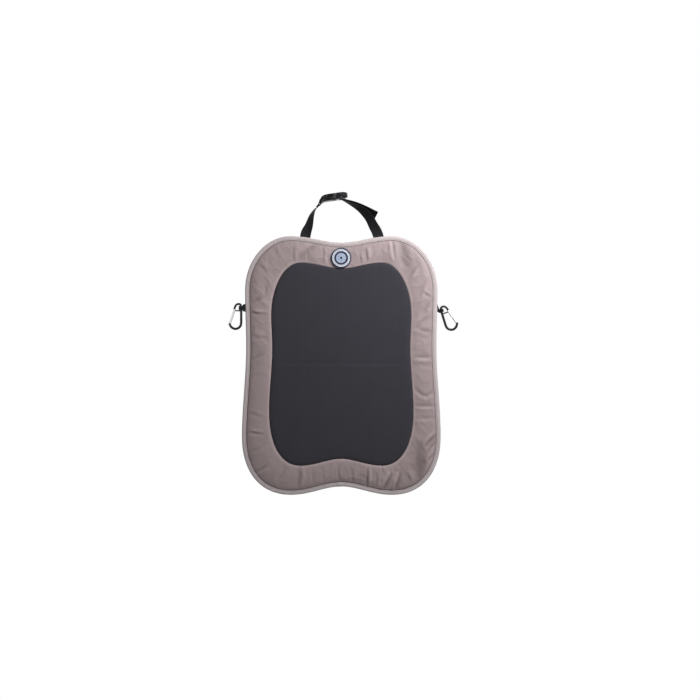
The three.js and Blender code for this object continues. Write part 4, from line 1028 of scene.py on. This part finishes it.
def side_tab(label, side, hang):
    """Two layers of webbing out of the seam, opened into a loop round the carabiner's rod."""
    reach = HANG_X - crossing(TAB_LEVEL, 1, 0)
    inside = ROD_RADIUS + GAP
    middle, outside = inside + TAPE / 2, inside + TAPE
    neck = outside + 3
    straight, gathered, through = 0.5 - reach, -ROD_RADIUS - 0.6, 0.3 - ROD_RADIUS
    tangent = 180 - math.degrees(math.acos(outside / neck)) * 0.82
    layer = WEBBING / 4
    to_loop = [(-neck - 1.2, layer), (-neck, layer + 0.05), *arc(0, 0, middle, tangent, tangent - 12, 1)]
    upper = [(x, layer) for x in np.linspace(-reach - SEAM_DEPTH, -neck - 1.6, 16)]
    upper += [tuple(p) for p in catmull(to_loop, 30)]
    upper += arc(0, 0, middle, tangent - 18, 90, 8) + [(LOOP_SLACK * 0.5, middle)]
    path = upper + arc(LOOP_SLACK, 0, middle, 90, -90, 16) + [(x, -y) for x, y in reversed(upper)]
    below, loop_from = hang["below"], hang["loop_from"]
    levels = [-reach - SEAM_DEPTH - 1, straight, gathered - 0.3, through - 0.3, 20]
    top = [below + TAB_WIDTH / 2] * 2 + [below + TAB_NECK_WIDTH / 2, LOOP_TO, LOOP_TO]
    low = [below - TAB_WIDTH / 2] * 2 + [below - TAB_NECK_WIDTH / 2, loop_from, loop_from]
    stations = []
    for x, y in path:
        a, b = np.interp(x, levels, top), np.interp(x, levels, low)
        px, pz, turn = drooped(x, (a + b) / 2, hang, straight, gathered)
        at = np.array([side * (HANG_X + px), -WEBBING_MIDDLE - y, TAB_LEVEL + pz])
        stations.append((at, np.array([-side * math.sin(turn), 0.0, math.cos(turn)]), a - b - 0.1))

    def rippled(row):
        """Gathers of the neck: waves across the tab, which die out at the seam and in the loop."""
        out = side * row[:, 0] - (HANG_X - reach)
        up = row[:, 2] - TAB_LEVEL
        swell = np.clip(out / 1.5, 0, 1) * np.clip((reach - inside - 0.4 - out) / 2.0, 0, 1)
        moved = row.copy()
        moved[:, 1] -= 0.42 * swell * (np.sin(up * 1.35 + 0.8 * side) + 0.5 * np.sin(up * 2.6 + side))
        return moved

    name = "side_tab_" + label
    made = ribbon(name + "_webbing", stations, WEBBING / 2 - 0.02, TABBING, 7, 0.07, rippled)
    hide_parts(name)
    tack = []
    for k in range(TACKS):
        px, pz, _ = drooped(straight + 1.3, below + TAB_WIDTH * (k - 4) / 9.6, hang, straight, gathered)
        tack.append(np.array([side * (HANG_X + px), -WEBBING_MIDDLE - WEBBING / 2 - 0.05, TAB_LEVEL + pz]))
    points, faces = [], []
    for a, b in zip(tack, tack[1:]):
        faces += tube_faces(len(points), len(TACK_PROFILE), THREAD_SIDES)
        for share, girth in TACK_PROFILE:
            for q in range(THREAD_SIDES):
                turn = 2 * math.pi * q / THREAD_SIDES
                round_it = np.array([math.cos(turn), math.sin(turn), 0])
                points.append(a * (1 - share) + b * share + TACK_RADIUS * girth * round_it)
    stitch = mesh_object(name + "_stitches", points, outward(points, faces), DARK_THREAD)


side_tab("left", -1, LEFT_HANG)
side_tab("right", 1, RIGHT_HANG)

# Finishes of the CAD nodes that stay


def finished(node, material, smooth_to=0):
    """The material on a CAD node, with smooth shading over its facets up to that angle."""
    o = nodes[node]
    o.data.materials.clear()
    o.data.materials.append(material)
    if node == "foam_pad":
        return
    o.data.polygons.foreach_set("use_smooth", [True] * len(o.data.polygons))
    o.modifiers.new("joined", "WELD").merge_threshold = 0.002 * MM
    if smooth_to:
        o.modifiers.new("crisp", "EDGE_SPLIT").split_angle = math.radians(smooth_to)


def rounded(node, width):
    """Fine bevels on the sharp edges of a CAD node."""
    bevel = nodes[node].modifiers.new("rounded", "BEVEL")
    bevel.width = width * MM
    bevel.segments = 2
    bevel.limit_method = "ANGLE"
    bevel.angle_limit = math.radians(40)
    bevel.harden_normals = True


for node in ("buckle_socket", "buckle_plug"):
    finished(node, PLASTIC)
    rounded(node, 0.3)
for side in ("left", "right"):
    finished("carabiner_" + side, BLACK_METAL, 50)
    finished("gate_" + side, SILVER, 40)
    for kind in ("hinge_pin_", "latch_pin_", "gate_spring_"):
        finished(kind + side, STEEL, 50)
finished("foam_pad", FOAM)

# Areas of the mat, the panel and the cover's ring, in square metres

MAT_AREA = loop_area(MAT_LOOP) * 1e-6
PANEL_AREA = loop_area(PANEL_LOOP) * 1e-6
RING_AREA = MAT_AREA - loop_area(inset(PANEL_LOOP, PANEL_SHOULDER)) * 1e-6

# Stage, light and camera, in metres

WHITE = (1, 1, 1, 1)
FLOOR_HALF_WIDTH, FLOOR_NEAR, FLOOR_FAR, FLOOR_LEVEL = 3.0, -4.0, 1.7, -1.15
FLOOR_GLOW, SOFT_LIGHT, BACKDROP = 0.55, 0.08, 1.0
CAMERA_DISTANCE, FRONT_LEVEL, SENSOR, PHOTO_SIZE = 2.6, -0.006, 36, 700


def stage_floor():
    """A pale floor, which the camera sees paler than it is lit."""
    w, near, far, z = FLOOR_HALF_WIDTH, FLOOR_NEAR, FLOOR_FAR, FLOOR_LEVEL
    mesh = bpy.data.meshes.new("floor")
    mesh.from_pydata([(-w, near, z), (w, near, z), (w, far, z), (-w, far, z)], [], [(0, 1, 2, 3)])
    o = bpy.data.objects.new("floor", mesh)
    bpy.context.scene.collection.objects.link(o)
    n = Nodes("pale_floor")
    n.put("Base Color", (0.86, 0.86, 0.86, 1))
    n.put("Roughness", 0.8)
    seen = n.add("ShaderNodeLightPath").outputs["Is Camera Ray"]
    n.put("Emission Color", WHITE)
    n.put("Emission Strength", n.math("MULTIPLY", seen, FLOOR_GLOW))
    mesh.materials.append(n.material)


def area_light(name, location, target, size, energy):
    data = bpy.data.lights.new(name, "AREA")
    data.shape = "DISK"
    data.size = size
    data.energy = energy
    o = bpy.data.objects.new(name, data)
    o.location = location
    o.rotation_euler = (Vector(target) - Vector(location)).to_track_quat("-Z", "Y").to_euler()
    bpy.context.scene.collection.objects.link(o)


def studio_world():
    """Soft light on the object, and white for the rays of the camera, gloss and transmission."""
    world = bpy.data.worlds.new("studio")
    bpy.context.scene.world = world
    world.use_nodes = True
    tree = world.node_tree
    tree.nodes.clear()
    rays = tree.nodes.new("ShaderNodeLightPath").outputs
    seen = rays["Is Camera Ray"]
    for ray in ("Is Glossy Ray", "Is Transmission Ray"):
        either = tree.nodes.new("ShaderNodeMath")
        either.operation = "MAXIMUM"
        tree.links.new(seen, either.inputs[0])
        tree.links.new(rays[ray], either.inputs[1])
        seen = either.outputs[0]
    blend = tree.nodes.new("ShaderNodeMixShader")
    tree.links.new(seen, blend.inputs[0])
    for socket, strength in ((1, SOFT_LIGHT), (2, BACKDROP)):
        background = tree.nodes.new("ShaderNodeBackground")
        background.inputs["Color"].default_value = WHITE
        background.inputs["Strength"].default_value = strength
        tree.links.new(background.outputs[0], blend.inputs[socket])
    tree.links.new(blend.outputs[0], tree.nodes.new("ShaderNodeOutputWorld").inputs["Surface"])


def front_camera():
    """The photograph's view: straight at the front, PIXEL millimetres for each pixel."""
    data = bpy.data.cameras.new("camera")
    data.sensor_width = SENSOR
    data.lens = SENSOR * CAMERA_DISTANCE / (PHOTO_SIZE * PIXEL * MM)
    data.clip_end = 50
    o = bpy.data.objects.new("camera", data)
    bpy.context.scene.collection.objects.link(o)
    middle = PHOTO_SIZE / 2
    x, z = (middle - MIDDLE_X) * PIXEL * MM, (MIDDLE_Y - middle) * PIXEL * MM
    o.location = (x, FRONT_LEVEL - CAMERA_DISTANCE, z)
    o.rotation_euler = (math.pi / 2, 0, 0)
    bpy.context.scene.camera = o


stage_floor()
area_light("key", (0.50, -0.556, 0.62), (0.05, 0, 0.06), 0.4, 11.3)
area_light("fill", (-1.3, -2.2, 0.5), (0, 0, 0), 1.6, 3)
area_light("rim", (0.3, 1.8, 1.2), (0, 0, 0), 2.8, 41)
studio_world()
front_camera()
bpy.context.scene.view_settings.view_transform = "Standard"
